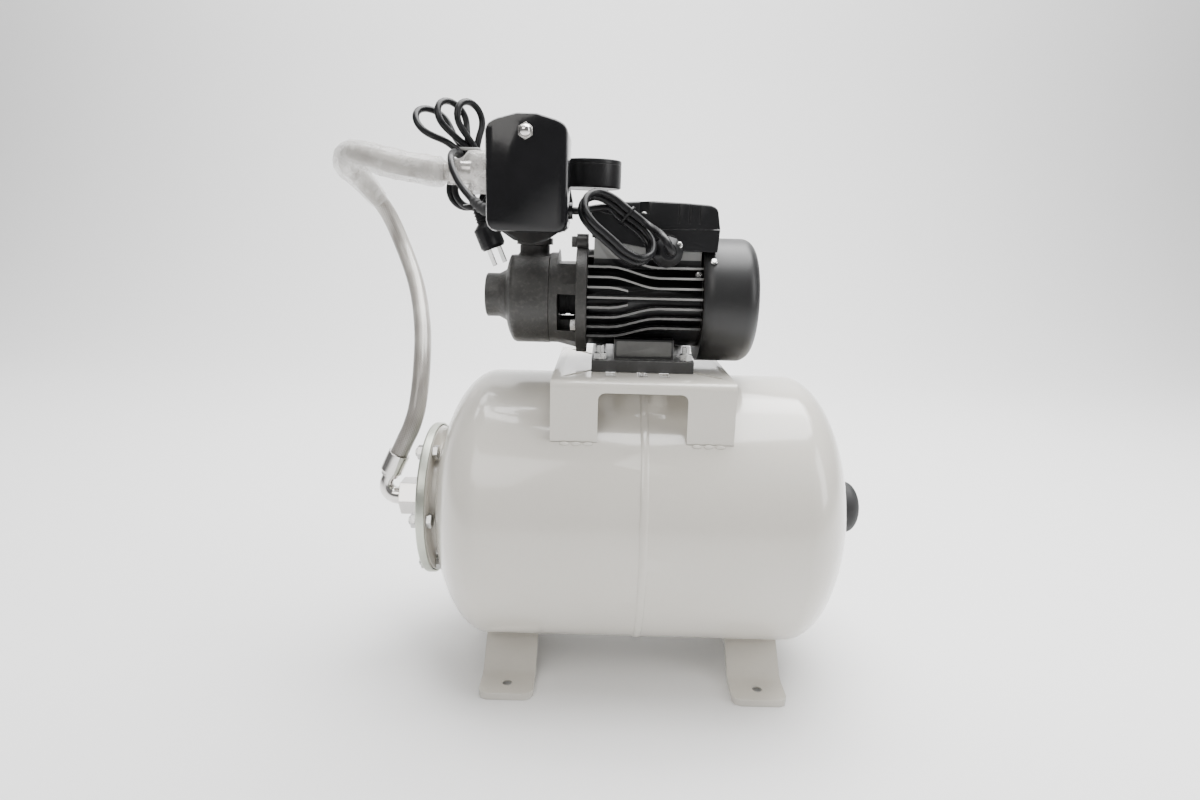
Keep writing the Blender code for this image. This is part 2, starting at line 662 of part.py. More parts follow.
def dome_arc(radius_from, radius_to, inset, steps):
    """Points on a tank dome, from one radius to another, measured from the tank's middle."""
    points = []
    tall = TANK_RADIUS - inset
    deep = DOME_DEPTH - inset
    start = atan2(sqrt(max(tall ** 2 - radius_from ** 2, 0.0)), radius_from)
    end = atan2(sqrt(max(tall ** 2 - radius_to ** 2, 0.0)), radius_to)
    for k in range(steps + 1):
        angle = start + (end - start) * k / steps
        points.append((TANK_STRAIGHT / 2 + deep * sin(angle), tall * cos(angle)))
    return points


def build_tank():
    centre = (TANK_MID_X, 0.0, TANK_AXIS_Z)
    inner = TANK_RADIUS - TANK_WALL
    hole = VALVE_STEM_RADIUS + GAP
    weld_low = TANK_RADIUS + GAP
    weld_high = TANK_RADIUS + GAP + WELD_HEIGHT
    right = [(0.5 * GAP, inner), (0.5 * GAP, weld_low), (-0.5 * WELD_WIDTH, weld_low),
             (-0.25 * WELD_WIDTH, weld_high), (0.25 * WELD_WIDTH, weld_high),
             (0.5 * WELD_WIDTH, TANK_RADIUS)]
    right += dome_arc(TANK_RADIUS, hole, 0.0, 6)
    right += dome_arc(inner, hole, TANK_WALL, 3)[::-1]
    add_piece("tank_shell_right", as_mesh("tank_shell_right", turned(
        right, TANK_SIDES, "X", centre)), "cream paint")

    neck_end = DOME_END + NECK_REACH
    plate_back = neck_end - NECK_PLATE_THICKNESS
    neck_bore = NECK_RADIUS - NECK_WALL
    left = [(0.5 * GAP, inner), (0.5 * GAP, TANK_RADIUS)]
    left += dome_arc(TANK_RADIUS, NECK_RADIUS, 0.0, 4)
    left += [(plate_back, NECK_RADIUS), (plate_back, NECK_PLATE_RADIUS),
             (neck_end, NECK_PLATE_RADIUS), (neck_end, neck_bore)]
    left += dome_arc(inner, neck_bore, TANK_WALL, 3)[::-1]
    left = [(-along, radius) for along, radius in left]
    shell = add_piece("tank_shell_left", as_mesh("tank_shell_left", turned(
        left, TANK_SIDES, "X", centre)), "cream paint")
    cut(shell, *[flange_hole(k) for k in range(FLANGE_BOLTS)])


def flange_bolt_place(k):
    """Centre of a flange bolt, counted from the first one above the horizontal."""
    angle = radians(60 * k + 30)
    return (0.0, -FLANGE_BOLT_CIRCLE * sin(angle), TANK_AXIS_Z + FLANGE_BOLT_CIRCLE * cos(angle))


def flange_hole(k):
    start = FLANGE_BOSS_X - 0.005
    end = NECK_END_X + NECK_PLATE_THICKNESS + 0.002
    return rod(start, end, FLANGE_BOLT_RADIUS + GAP, 8, "X", flange_bolt_place(k))


def build_membrane():
    lip_x = NECK_END_X - GAP - TANK_MID_X
    outer = NECK_RADIUS - NECK_WALL - GAP
    lip = outer + MEMBRANE_LIP_WIDTH
    throat = MEMBRANE_THROAT - DOME_END
    shoulder = MEMBRANE_SHOULDER - TANK_STRAIGHT / 2
    outside = [(lip_x, lip), (lip_x, outer), (throat, outer)]
    for k in range(1, 3):
        t = k / 2
        swell = t * t * (3 - 2 * t)
        outside.append((throat + (shoulder - throat) * t,
                        outer + (MEMBRANE_RADIUS - outer) * swell))
    for k in range(4):
        angle = pi / 2 * k / 3
        outside.append((MEMBRANE_LENGTH * sin(angle), MEMBRANE_RADIUS * cos(angle)))
    outside[-1] = (MEMBRANE_LENGTH, 0.0)
    inside = [(lip_x - MEMBRANE_WALL, lip), (lip_x - MEMBRANE_WALL, outer - MEMBRANE_WALL)]
    inside += [(along, radius - MEMBRANE_WALL) for along, radius in outside[2:-1]]
    inside.append((MEMBRANE_LENGTH - MEMBRANE_WALL, 0.0))
    centre = (TANK_MID_X, 0.0, TANK_AXIS_Z)
    add_piece("tank_membrane", as_mesh("tank_membrane", turned(
        outside[::-1] + inside, MEMBRANE_SIDES, "X", centre)), "rubber")


def build_flange():
    lip_end = FLANGE_OUTER_X + FLANGE_LIP
    profile = (
        (FLANGE_INNER_X, FLANGE_THREAD_RADIUS),
        (FLANGE_INNER_X, FLANGE_RADIUS - FLANGE_LIP_WALL),
        (lip_end, FLANGE_RADIUS - FLANGE_LIP_WALL),
        (lip_end, FLANGE_RADIUS),
        (FLANGE_OUTER_X, FLANGE_RADIUS),
        (FLANGE_OUTER_X, FLANGE_BOSS_RADIUS + 2 * FLANGE_BOSS_RISE),
        (FLANGE_BOSS_X, FLANGE_BOSS_RADIUS),
        (FLANGE_BOSS_X, FLANGE_THREAD_RADIUS))
    flange = add_piece("counter_flange", as_mesh("counter_flange", turned(
        profile, TANK_SIDES, "X", (0.0, 0.0, TANK_AXIS_Z))), "zinc")
    cut(flange, *[flange_hole(k) for k in range(FLANGE_BOLTS)])
    plate_back = NECK_END_X + NECK_PLATE_THICKNESS
    half = FLANGE_BOLT_FLATS / 2
    for k in range(FLANGE_BOLTS):
        stations = (
            (plate_back + GAP + FLANGE_BOLT_HEAD, half, True),
            (plate_back + GAP, half, True),
            (plate_back + GAP, FLANGE_BOLT_RADIUS, False),
            (FLANGE_OUTER_X - GAP, FLANGE_BOLT_RADIUS, False),
            (FLANGE_OUTER_X - GAP, half, True),
            (FLANGE_OUTER_X - GAP - FLANGE_BOLT_HEAD, half, True),
            (FLANGE_OUTER_X - GAP - FLANGE_BOLT_HEAD, FLANGE_BOLT_RADIUS, False),
            (FLANGE_OUTER_X - 1.5 * FLANGE_BOLT_HEAD, FLANGE_BOLT_RADIUS, False))
        name = "flange_bolt_" + str(k + 1)
        bolt = stacked(stations, BOLT_SIDES, "X", (0.0, 0.0, 0.0), 60.0 * k)
        add_piece(name, as_mesh(name, bolt), "bright steel", flange_bolt_place(k))


def build_air_valve():
    centre = (POLE_X, 0.0, TANK_AXIS_Z)
    inner_collar = VALVE_STEM_RADIUS + 0.003
    profile = (
        (-TANK_WALL - 0.0035, 0.0), (-TANK_WALL - 0.0035, inner_collar),
        (-TANK_WALL - 2 * GAP, inner_collar), (-TANK_WALL - 2 * GAP, VALVE_STEM_RADIUS),
        (GAP, VALVE_STEM_RADIUS), (GAP, VALVE_COLLAR_RADIUS),
        (VALVE_COLLAR_HEIGHT, VALVE_COLLAR_RADIUS), (VALVE_COLLAR_HEIGHT, VALVE_STEM_RADIUS),
        (VALVE_STEM_LENGTH, VALVE_STEM_RADIUS), (VALVE_STEM_LENGTH, VALVE_BORE_RADIUS),
        (VALVE_STEM_LENGTH - VALVE_BORE_DEPTH, VALVE_BORE_RADIUS),
        (VALVE_STEM_LENGTH - VALVE_BORE_DEPTH, 0.0))
    add_piece("air_valve_stem", as_mesh("air_valve_stem", turned(
        profile, MEDIUM_SIDES, "X", centre)), "brass")

    core_start = VALVE_STEM_LENGTH - VALVE_BORE_DEPTH + 0.0030
    core_end = VALVE_STEM_LENGTH + VALVE_CORE_HEAD
    core = rod(core_start, core_end, VALVE_BORE_RADIUS - GAP, 8)
    add_piece("air_valve_core", as_mesh("air_valve_core", core), "brass", centre)

    inner = CAP_RADIUS - CAP_WALL
    outside = [(CAP_RIM_LIFT, inner), (CAP_RIM_LIFT, CAP_RADIUS)]
    inside = [(CAP_RIM_LIFT, inner)]
    for k in range(5):
        angle = pi / 2 * k / 4
        outside.append((CAP_SKIRT + (CAP_HEIGHT - CAP_SKIRT) * sin(angle),
                        CAP_RADIUS * cos(angle) if k < 4 else 0.0))
        inside.append((CAP_SKIRT + (CAP_HEIGHT - CAP_WALL - CAP_SKIRT) * sin(angle),
                       inner * cos(angle) if k < 4 else 0.0))
    cap = turned(outside[::-1] + inside[1:], MEDIUM_SIDES)
    add_piece("air_valve_cap", as_mesh("air_valve_cap", cap), "black plastic", centre)


def foot_path(depth, end_y):
    """Top line of a foot along Y, lowered by the thickness of the sheet below it."""
    reach = TANK_RADIUS + GAP
    saddle_z = TANK_AXIS_Z - sqrt(reach ** 2 - FOOT_SADDLE_Y ** 2)
    half = [(end_y, FOOT_HEIGHT), (FOOT_BEND_Y + 0.007, FOOT_HEIGHT),
            (FOOT_BEND_Y, FOOT_HEIGHT + 0.0020), (FOOT_SADDLE_Y + 0.006, saddle_z - 0.0055)]
    for k in range(4):
        y = FOOT_SADDLE_Y * (1 - k / 4)
        half.append((y, TANK_AXIS_Z - sqrt(reach ** 2 - y ** 2)))
    path = half + [(0.0, TANK_AXIS_Z - reach)] + [(-y, z) for y, z in half[::-1]]
    lowered = []
    for i, (y, z) in enumerate(path):
        before = Vector(path[max(i - 1, 0)])
        after = Vector(path[min(i + 1, len(path) - 1)])
        flat = abs((after - before).normalized().x)
        lowered.append((y, z - depth / flat))
    return lowered


def foot_solid(x, half_width, top_depth, low_depth, end_y, corner):
    rings = []
    for (y, z_top), (_, z_low) in zip(foot_path(top_depth, end_y), foot_path(low_depth, end_y)):
        rings.append(((x - half_width, y, z_top), (x + half_width, y, z_top),
                      (x + half_width, y, z_low), (x - half_width, y, z_low)))
    bm = loft(rings)
    uprights = [e for e in bm.edges if all(abs(v.co.y) > end_y - 1e-6 for v in e.verts)
                and abs(e.verts[0].co.x - e.verts[1].co.x) < 1e-6]
    bmesh.ops.bevel(bm, geom=uprights, offset=corner, segments=2, profile=0.5, affect="EDGES")
    return bm


def build_feet():
    for name, x in (("foot_left", -FOOT_X), ("foot_right", FOOT_X)):
        outer = foot_solid(x, FOOT_WIDTH / 2, 0.0, FOOT_HEIGHT, FOOT_HALF_DEPTH, FOOT_CORNER)
        foot = add_piece(name, as_mesh(name, outer), "cream paint")
        cut(foot, foot_solid(x, FOOT_WIDTH / 2 - FOOT_SHEET, FOOT_SHEET, FOOT_HEIGHT + 0.003,
                             FOOT_HALF_DEPTH - FOOT_SHEET, FOOT_CORNER - FOOT_SHEET))
        cut(foot, *[rod(-0.001, FOOT_HEIGHT + 0.001, FOOT_HOLE_RADIUS, SMALL_SIDES, "Z",
                        (x, side * FOOT_HOLE_Y, 0.0)) for side in (-1, 1)])


def slant_slot(x_near, y_near, x_far, y_far):
    """A narrow slot in the bracket's plate between two places."""
    near = Vector((x_near, y_near))
    far = Vector((x_far, y_far))
    along = (far - near).normalized()
    side = Vector((-along.y, along.x)) * (SLANT_SLOT_WIDTH / 2)
    corners = (near - side, near + side, far + side, far - side)
    return prism([tuple(c) for c in corners], BRACKET_TOP_Z - 0.02, BRACKET_TOP_Z + 0.01, "Z")


def build_bracket():
    reach = TANK_RADIUS + GAP
    outer = BRACKET_HALF_DEPTH
    inner = BRACKET_HALF_DEPTH - BRACKET_SHEET
    low_outer = TANK_AXIS_Z + sqrt(reach ** 2 - outer ** 2) + GAP
    low_inner = TANK_AXIS_Z + sqrt(reach ** 2 - inner ** 2) + GAP
    top = BRACKET_TOP_Z
    under = BRACKET_TOP_Z - BRACKET_SHEET
    bend = BRACKET_CORNER - BRACKET_SHEET
    outline = filleted(((-outer, low_outer, 0.0), (-outer, top, BRACKET_CORNER),
                        (outer, top, BRACKET_CORNER), (outer, low_outer, 0.0),
                        (inner, low_inner, 0.0), (inner, under, bend),
                        (-inner, under, bend), (-inner, low_inner, 0.0)))
    plate = prism(outline, -BRACKET_HALF_LENGTH, BRACKET_HALF_LENGTH, "X")
    bracket = add_piece("pump_bracket", as_mesh("pump_bracket", plate), "cream paint")
    window_top = top - WINDOW_TOP_DROP
    window = filleted(((-WINDOW_HALF_WIDTH, low_outer - 0.01, 0.0),
                       (WINDOW_HALF_WIDTH, low_outer - 0.01, 0.0),
                       (WINDOW_HALF_WIDTH, window_top, WINDOW_CORNER),
                       (-WINDOW_HALF_WIDTH, window_top, WINDOW_CORNER)))
    cut(bracket, prism(window, -outer - 0.01, outer + 0.01))
    slots = []
    for side in (-1, 1):
        for x in SLOT_XS:
            y_range = sorted((side * SLOT_NEAR_Y, side * SLOT_FAR_Y))
            slots.append(block((x - SLOT_WIDTH / 2, x + SLOT_WIDTH / 2), y_range,
                               (under - 0.002, top + 0.002)))
        for x_near, y_near, x_far, y_far in SLANT_SLOTS:
            slots.append(slant_slot(x_near, -side * y_near, x_far, -side * y_far))
    cut(bracket, *slots)
    cut(bracket, *[rod(under - 0.002, top + 0.002, BASE_BOLT_RADIUS + GAP, 8, "Z", place)
                   for place in base_bolt_places()])


def base_bolt_places():
    return [(x, y, 0.0) for x in BASE_BOLT_X for y in (-BASE_BOLT_Y, BASE_BOLT_Y)]


def wave(x):
    """Share of the fins' sideways shift at a place along the motor."""
    t = (x - FIN_WAVE_START_X) / (FIN_WAVE_END_X - FIN_WAVE_START_X)
    t = min(max(t, 0.0), 1.0)
    return t * t * (3 - 2 * t)


def fin(row):
    """A wavy cooling fin across the whole motor. The rows beside the middle one stop short."""
    start = HOUSING_FRONT_X + FIN_END_SETBACK
    end = FIN_SHORT_END_X if abs(row) == 1 else HOUSING_REAR_X - FIN_END_SETBACK
    stations = [start]
    for k in range(FIN_WAVE_STEPS + 1):
        x = FIN_WAVE_START_X + (FIN_WAVE_END_X - FIN_WAVE_START_X) * k / FIN_WAVE_STEPS
        if x < end - 0.001:
            stations.append(x)
    stations.append(end)
    toward_middle = (row < 0) - (row > 0)
    if row == 0:
        stations = [start, end]
    rings = []
    for x in stations:
        rise = FIN_MID_RISE + (row + toward_middle * wave(x)) * FIN_PITCH
        tip = sqrt(FIN_TIP_RADIUS ** 2 - rise ** 2)
        low = SHAFT_Z + rise - FIN_THICKNESS / 2
        high = SHAFT_Z + rise + FIN_THICKNESS / 2
        rings.append(((x, -tip, low), (x, tip, low), (x, tip, high), (x, -tip, high)))
    return loft(rings)


def build_motor_housing():
    axis = (0.0, 0.0, SHAFT_Z)
    base_top = BRACKET_TOP_Z + GAP + MOTOR_BASE_THICKNESS
    plate = block(MOTOR_BASE_X, (-MOTOR_BASE_HALF_DEPTH, MOTOR_BASE_HALF_DEPTH),
                  (BRACKET_TOP_Z + GAP, base_top))
    housing = add_piece("motor_housing", as_mesh("motor_housing", plate), "black paint")
    cut(housing, *[rod(BRACKET_TOP_Z - 0.002, base_top + 0.002, BASE_BOLT_RADIUS + GAP, 8,
                       "Z", place) for place in base_bolt_places()])
    join(housing, block(PEDESTAL_X, (-PEDESTAL_HALF_DEPTH, PEDESTAL_HALF_DEPTH),
                        (base_top - 0.002, base_top + PEDESTAL_HEIGHT)))
    join(housing, rod(HOUSING_FRONT_X, HOUSING_REAR_X, HOUSING_RADIUS, LARGE_SIDES, "X", axis))
    join(housing, *[fin(row) for row in range(-FIN_ROWS, FIN_ROWS + 1)])
    pad = ((PAD_X[0], SHAFT_Z + PAD_ROOT), (PAD_X[1], SHAFT_Z + PAD_ROOT),
           (PAD_X[1], SHAFT_Z + BOX_BOTTOM_RIGHT - GAP),
           (BOX_KNEE_X, SHAFT_Z + BOX_BOTTOM_KNEE - GAP),
           (PAD_X[0], SHAFT_Z + BOX_BOTTOM_LEFT - 2 * GAP))
    join(housing, prism(pad, -PAD_HALF_DEPTH, PAD_HALF_DEPTH))
    cut(housing, rod(HOUSING_FRONT_X - 0.002, HOUSING_REAR_X + 0.002, BORE_RADIUS,
                     LARGE_SIDES, "X", axis))


def build_base_bolts():
    plate_under = BRACKET_TOP_Z - BRACKET_SHEET
    base_top = BRACKET_TOP_Z + GAP + MOTOR_BASE_THICKNESS
    half = BASE_BOLT_FLATS / 2
    thick = 0.55 * BASE_BOLT_FLATS
    for k, place in enumerate(base_bolt_places()):
        stations = (
            (plate_under - GAP - thick, half, True),
            (plate_under - GAP, half, True),
            (plate_under - GAP, BASE_BOLT_RADIUS, False),
            (base_top + GAP, BASE_BOLT_RADIUS, False),
            (base_top + GAP, half, True),
            (base_top + GAP + thick, half, True),
            (base_top + GAP + thick, BASE_BOLT_RADIUS, False),
            (base_top + BASE_BOLT_END, BASE_BOLT_RADIUS, False))
        name = "base_bolt_" + str(k + 1)
        add_piece(name, as_mesh(name, stacked(stations, BOLT_SIDES, "Z")), "bright steel", place)


def build_motor_insides():
    axis = (0.0, 0.0, SHAFT_Z)
    stator = (
        (STATOR_X[0], STATOR_BORE_RADIUS), (STATOR_X[0], WINDING_INNER_RADIUS),
        (STATOR_X[0] - WINDING_REACH, WINDING_INNER_RADIUS),
        (STATOR_X[0] - WINDING_REACH, WINDING_OUTER_RADIUS),
        (STATOR_X[0], WINDING_OUTER_RADIUS), (STATOR_X[0], BORE_RADIUS - GAP),
        (STATOR_X[1], BORE_RADIUS - GAP), (STATOR_X[1], WINDING_OUTER_RADIUS),
        (STATOR_X[1] + WINDING_REACH, WINDING_OUTER_RADIUS),
        (STATOR_X[1] + WINDING_REACH, WINDING_INNER_RADIUS),
        (STATOR_X[1], WINDING_INNER_RADIUS), (STATOR_X[1], STATOR_BORE_RADIUS))
    add_piece("stator", as_mesh("stator", turned(stator, LARGE_SIDES, "X", axis)), "copper")

    rotor_bore = SHAFT_BODY_RADIUS + GAP
    rotor_radius = STATOR_BORE_RADIUS - ROTOR_AIR_GAP
    core = turned(((ROTOR_X[0], rotor_bore), (ROTOR_X[0], rotor_radius),
                   (ROTOR_X[1], rotor_radius), (ROTOR_X[1], rotor_bore)), SMALL_SIDES)
    add_piece("rotor_core", as_mesh("rotor_core", core), "bright steel", axis)

    seat = BEARING_BORE_RADIUS - GAP
    front = front_bearing_x()
    rear = rear_bearing_x()
    seal_end = ADAPTER_FACE_X + 0.0010 + SEAL_HEAD_LENGTH
    impeller_front = CHAMBER_X + IMPELLER_RUNNING_GAP
    shaft = turned((
        (impeller_front, 0.0), (impeller_front, SHAFT_SEAL_RADIUS),
        (ADAPTER_FACE_X + 0.0010, SHAFT_SEAL_RADIUS), (ADAPTER_FACE_X + 0.0010, SEAL_HEAD_RADIUS),
        (seal_end, SEAL_HEAD_RADIUS), (seal_end, seat),
        (front[1] + GAP, seat), (front[1] + GAP, SHAFT_BODY_RADIUS),
        (rear[0] - GAP, SHAFT_BODY_RADIUS), (rear[0] - GAP, seat),
        (FAN_X[1], seat), (FAN_X[1], 0.0)), SMALL_SIDES)
    add_piece("shaft", as_mesh("shaft", shaft), "bright steel", axis)

    for name, span in (("bearing_front", front), ("bearing_rear", rear)):
        ring = turned((
            (span[0], BEARING_BORE_RADIUS), (span[0], BEARING_OUTER_RADIUS),
            (span[1], BEARING_OUTER_RADIUS), (span[1], BEARING_BORE_RADIUS)),
            SMALL_SIDES, "X", axis)
        add_piece(name, as_mesh(name, ring), "bright steel")


def front_bearing_x():
    shoulder = LANTERN_X[1] + LANTERN_WEB
    return (shoulder + GAP, shoulder + GAP + BEARING_WIDTH)


def rear_bearing_x():
    shoulder = HOUSING_REAR_X + GAP + SHIELD_THICKNESS - 0.0030
    return (shoulder - GAP - BEARING_WIDTH, shoulder - GAP)


def shaft_hole():
    return BEARING_BORE_RADIUS + 0.0035


def build_end_shield():
    axis = (0.0, 0.0, SHAFT_Z)
    rim = FAN_COVER_RADIUS - FAN_COVER_WALL - GAP
    face = HOUSING_REAR_X + GAP
    back = face + SHIELD_THICKNESS
    bearing = rear_bearing_x()
    seat = BEARING_OUTER_RADIUS + GAP
    shield = turned((
        (back, shaft_hole()), (back, rim - SHIELD_RIM_WALL),
        (back + SHIELD_RIM, rim - SHIELD_RIM_WALL), (back + SHIELD_RIM, rim),
        (face, rim), (face, BORE_RADIUS - GAP), (face - SHIELD_SPIGOT, BORE_RADIUS - GAP),
        (face - SHIELD_SPIGOT, seat + 0.0040), (bearing[0], seat + 0.0040), (bearing[0], seat),
        (bearing[1] + GAP, seat), (bearing[1] + GAP, shaft_hole())), LARGE_SIDES, "X", axis)
    piece = add_piece("end_shield", as_mesh("end_shield", shield), "black paint")
    cut(piece, *cover_screw_holes())


def screw_rod(angle, start, end, radius, sides):
    """A rod that points out from the motor's axis at the fan cover's screws."""
    bm = rod(start, end, radius, sides)
    turn = Matrix.Rotation(radians(90 + angle), 4, "X") @ Matrix.Rotation(radians(90), 4, "Z")
    bm.transform(Matrix.Translation((COVER_SCREW_X, 0.0, SHAFT_Z)) @ turn)
    return bm


def cover_screw_holes():
    inside = FAN_COVER_RADIUS - 0.010
    return [screw_rod(angle, inside, FAN_COVER_RADIUS + 0.004, COVER_SCREW_RADIUS + GAP, 8)
            for angle in COVER_SCREW_ANGLES]


def build_fan_cover():
    axis = (0.0, 0.0, SHAFT_Z)
    outside = [(FAN_COVER_END_X, 0.0), (FAN_COVER_END_X, FAN_COVER_FACE_RADIUS)]
    inside = [(FAN_COVER_END_X - FAN_COVER_WALL, 0.0),
              (FAN_COVER_END_X - FAN_COVER_WALL, FAN_COVER_FACE_RADIUS)]
    deep = FAN_COVER_END_X - FAN_COVER_ROUND_X
    tall = FAN_COVER_RADIUS - FAN_COVER_FACE_RADIUS
    for k in range(1, 4):
        angle = pi / 2 * k / 3
        outside.append((FAN_COVER_ROUND_X + deep * cos(angle),
                        FAN_COVER_FACE_RADIUS + tall * sin(angle)))
        inside.append((FAN_COVER_ROUND_X + (deep - FAN_COVER_WALL) * cos(angle),
                       FAN_COVER_FACE_RADIUS + (tall - FAN_COVER_WALL) * sin(angle)))
    outside.append((FAN_COVER_FRONT_X, FAN_COVER_RADIUS))
    inside.append((FAN_COVER_FRONT_X, FAN_COVER_RADIUS - FAN_COVER_WALL))
    shell = turned(outside + inside[::-1], LARGE_SIDES, "X", axis)
    cover = add_piece("fan_cover", as_mesh("fan_cover", shell), "satin grey")
    slots = []
    for k in range(GRILLE_SLOTS):
        slot = block((FAN_COVER_END_X - 0.004, FAN_COVER_END_X + 0.004),
                     (-GRILLE_SLOT_WIDTH / 2, GRILLE_SLOT_WIDTH / 2),
                     (GRILLE_INNER_RADIUS, GRILLE_OUTER_RADIUS))
        slot.transform(Matrix.Translation(axis) @ Matrix.Rotation(2 * pi * k / GRILLE_SLOTS, 4, "X"))
        slots.append(slot)
    cut(cover, *slots)
    cut(cover, *cover_screw_holes())
    for k, angle in enumerate(COVER_SCREW_ANGLES):
        name = "fan_cover_screw_" + str(k + 1)
        stations = (
            (FAN_COVER_RADIUS - FAN_COVER_WALL - SHIELD_RIM_WALL, COVER_SCREW_RADIUS, False),
            (FAN_COVER_RADIUS + GAP, COVER_SCREW_RADIUS, False),
            (FAN_COVER_RADIUS + GAP, COVER_SCREW_HEAD_RADIUS, False),
            (FAN_COVER_RADIUS + GAP + 0.6 * COVER_SCREW_HEAD, COVER_SCREW_HEAD_RADIUS, False),
            (FAN_COVER_RADIUS + GAP + COVER_SCREW_HEAD, 0.6 * COVER_SCREW_HEAD_RADIUS, False))
        screw = stacked(stations, 8)
        turn = Matrix.Rotation(radians(90 + angle), 4, "X") @ Matrix.Rotation(radians(90), 4, "Z")
        screw.transform(turn)
        add_piece(name, as_mesh(name, screw), "bright steel", (COVER_SCREW_X, 0.0, SHAFT_Z))


def build_fan():
    bore = BEARING_BORE_RADIUS
    hub = turned((
        (FAN_X[0], bore), (FAN_X[0], FAN_HUB_RADIUS),
        (FAN_X[0] + 0.004, FAN_HUB_RADIUS), (FAN_X[0] + 0.004, FAN_DISC_RADIUS),
        (FAN_X[0] + 0.004 + FAN_DISC_THICKNESS, FAN_DISC_RADIUS),
        (FAN_X[0] + 0.004 + FAN_DISC_THICKNESS, FAN_HUB_RADIUS),
        (FAN_X[1], FAN_HUB_RADIUS - 0.001), (FAN_X[1], bore)), SMALL_SIDES)
    fan = add_piece("fan", as_mesh("fan", hub), "black plastic", (0.0, 0.0, SHAFT_Z))
    blades = []
    for k in range(FAN_BLADES):
        blade = prism(((FAN_X[0] + 0.0015, FAN_HUB_RADIUS - 0.002),
                       (FAN_X[1] - 0.001, FAN_HUB_RADIUS - 0.002),
                       (FAN_X[1] + 0.002, FAN_TIP_RADIUS), (FAN_X[0] + 0.0015, FAN_TIP_RADIUS)),
                      -FAN_BLADE_THICKNESS / 2, FAN_BLADE_THICKNESS / 2)
        turn = Matrix.Rotation(2 * pi * k / FAN_BLADES, 4, "X")
        blade.transform(Matrix.Translation((0.0, 0.0, SHAFT_Z)) @ turn)
        blades.append(blade)
    join(fan, *blades)


def build_adapter():
    axis = (0.0, 0.0, SHAFT_Z)
    flange_front, flange_back = MOTOR_FLANGE_X
    bearing = front_bearing_x()
    seat = BEARING_OUTER_RADIUS + GAP
    spigot = BORE_RADIUS - GAP
    body = turned((
        (ADAPTER_FACE_X, SEAL_BORE_RADIUS), (ADAPTER_FACE_X, ADAPTER_RADIUS),
        (ADAPTER_STEP_X, ADAPTER_RADIUS), (flange_front - 0.0004, ADAPTER_FLARE_RADIUS),
        (flange_front, MOTOR_FLANGE_RADIUS), (flange_back, MOTOR_FLANGE_RADIUS),
        (flange_back, spigot), (flange_back + SPIGOT_LENGTH, spigot),
        (flange_back + SPIGOT_LENGTH, seat), (bearing[0] - GAP, seat),
        (bearing[0] - GAP, shaft_hole()), (LANTERN_X[1], shaft_hole()),
        (LANTERN_X[1], LANTERN_RADIUS), (LANTERN_X[0], LANTERN_RADIUS),
        (LANTERN_X[0], SEAL_BORE_RADIUS)), LARGE_SIDES, "X", axis)
    adapter = add_piece("pump_adapter", as_mesh("pump_adapter", body), "charcoal paint")
    ears = []
    for y, z in ADAPTER_BOLTS:
        if z > 0:
            ears.append(rod(flange_front - EAR_PROUD, flange_back - 0.0004, EAR_RADIUS,
                            SMALL_SIDES, "X", (0.0, y, SHAFT_Z + z)))
    join(adapter, *ears)
    vents = []
    clear = MOTOR_FLANGE_RADIUS + 0.015
    for side in (-1, 1):
        y_range = sorted((side * VENT_HALF_GAP, side * clear))
        vents.append(block((LANTERN_X[0] + 0.0002, flange_front - 0.0001), y_range,
                           (SHAFT_Z + VENT_Z[0], SHAFT_Z + VENT_Z[1])))
    vents.append(block((LANTERN_X[0] + 0.0001, flange_front - 0.0008), (-clear, clear),
                       (SHAFT_Z + LANTERN_TOP, SHAFT_Z + clear)))
    cut(adapter, *vents)
    cut(adapter, *[rod(flange_front - 0.003, flange_back + 0.003, ADAPTER_BOLT_RADIUS + GAP, 8,
                       "X", (0.0, y, SHAFT_Z + z)) for y, z in ADAPTER_BOLTS])
    cut(adapter, block((ADAPTER_FACE_X - 0.002, LANTERN_X[0] - 0.0003), (-clear, clear),
                       (SHAFT_Z + CASING_FLAT_TOP + 0.0030, SHAFT_Z + clear)))
    half = ADAPTER_BOLT_FLATS / 2
    for k, (y, z) in enumerate(ADAPTER_BOLTS):
        seat_x = flange_front - GAP
        if z > 0:
            seat_x = flange_front - EAR_PROUD - GAP
        stations = (
            (seat_x - ADAPTER_BOLT_HEAD, half, True), (seat_x, half, True),
            (seat_x, ADAPTER_BOLT_RADIUS, False),
            (flange_back - GAP, ADAPTER_BOLT_RADIUS, False))
        name = "adapter_bolt_" + str(k + 1)
        add_piece(name, as_mesh(name, stacked(stations, BOLT_SIDES)), "bright steel",
                  (0.0, y, SHAFT_Z + z))


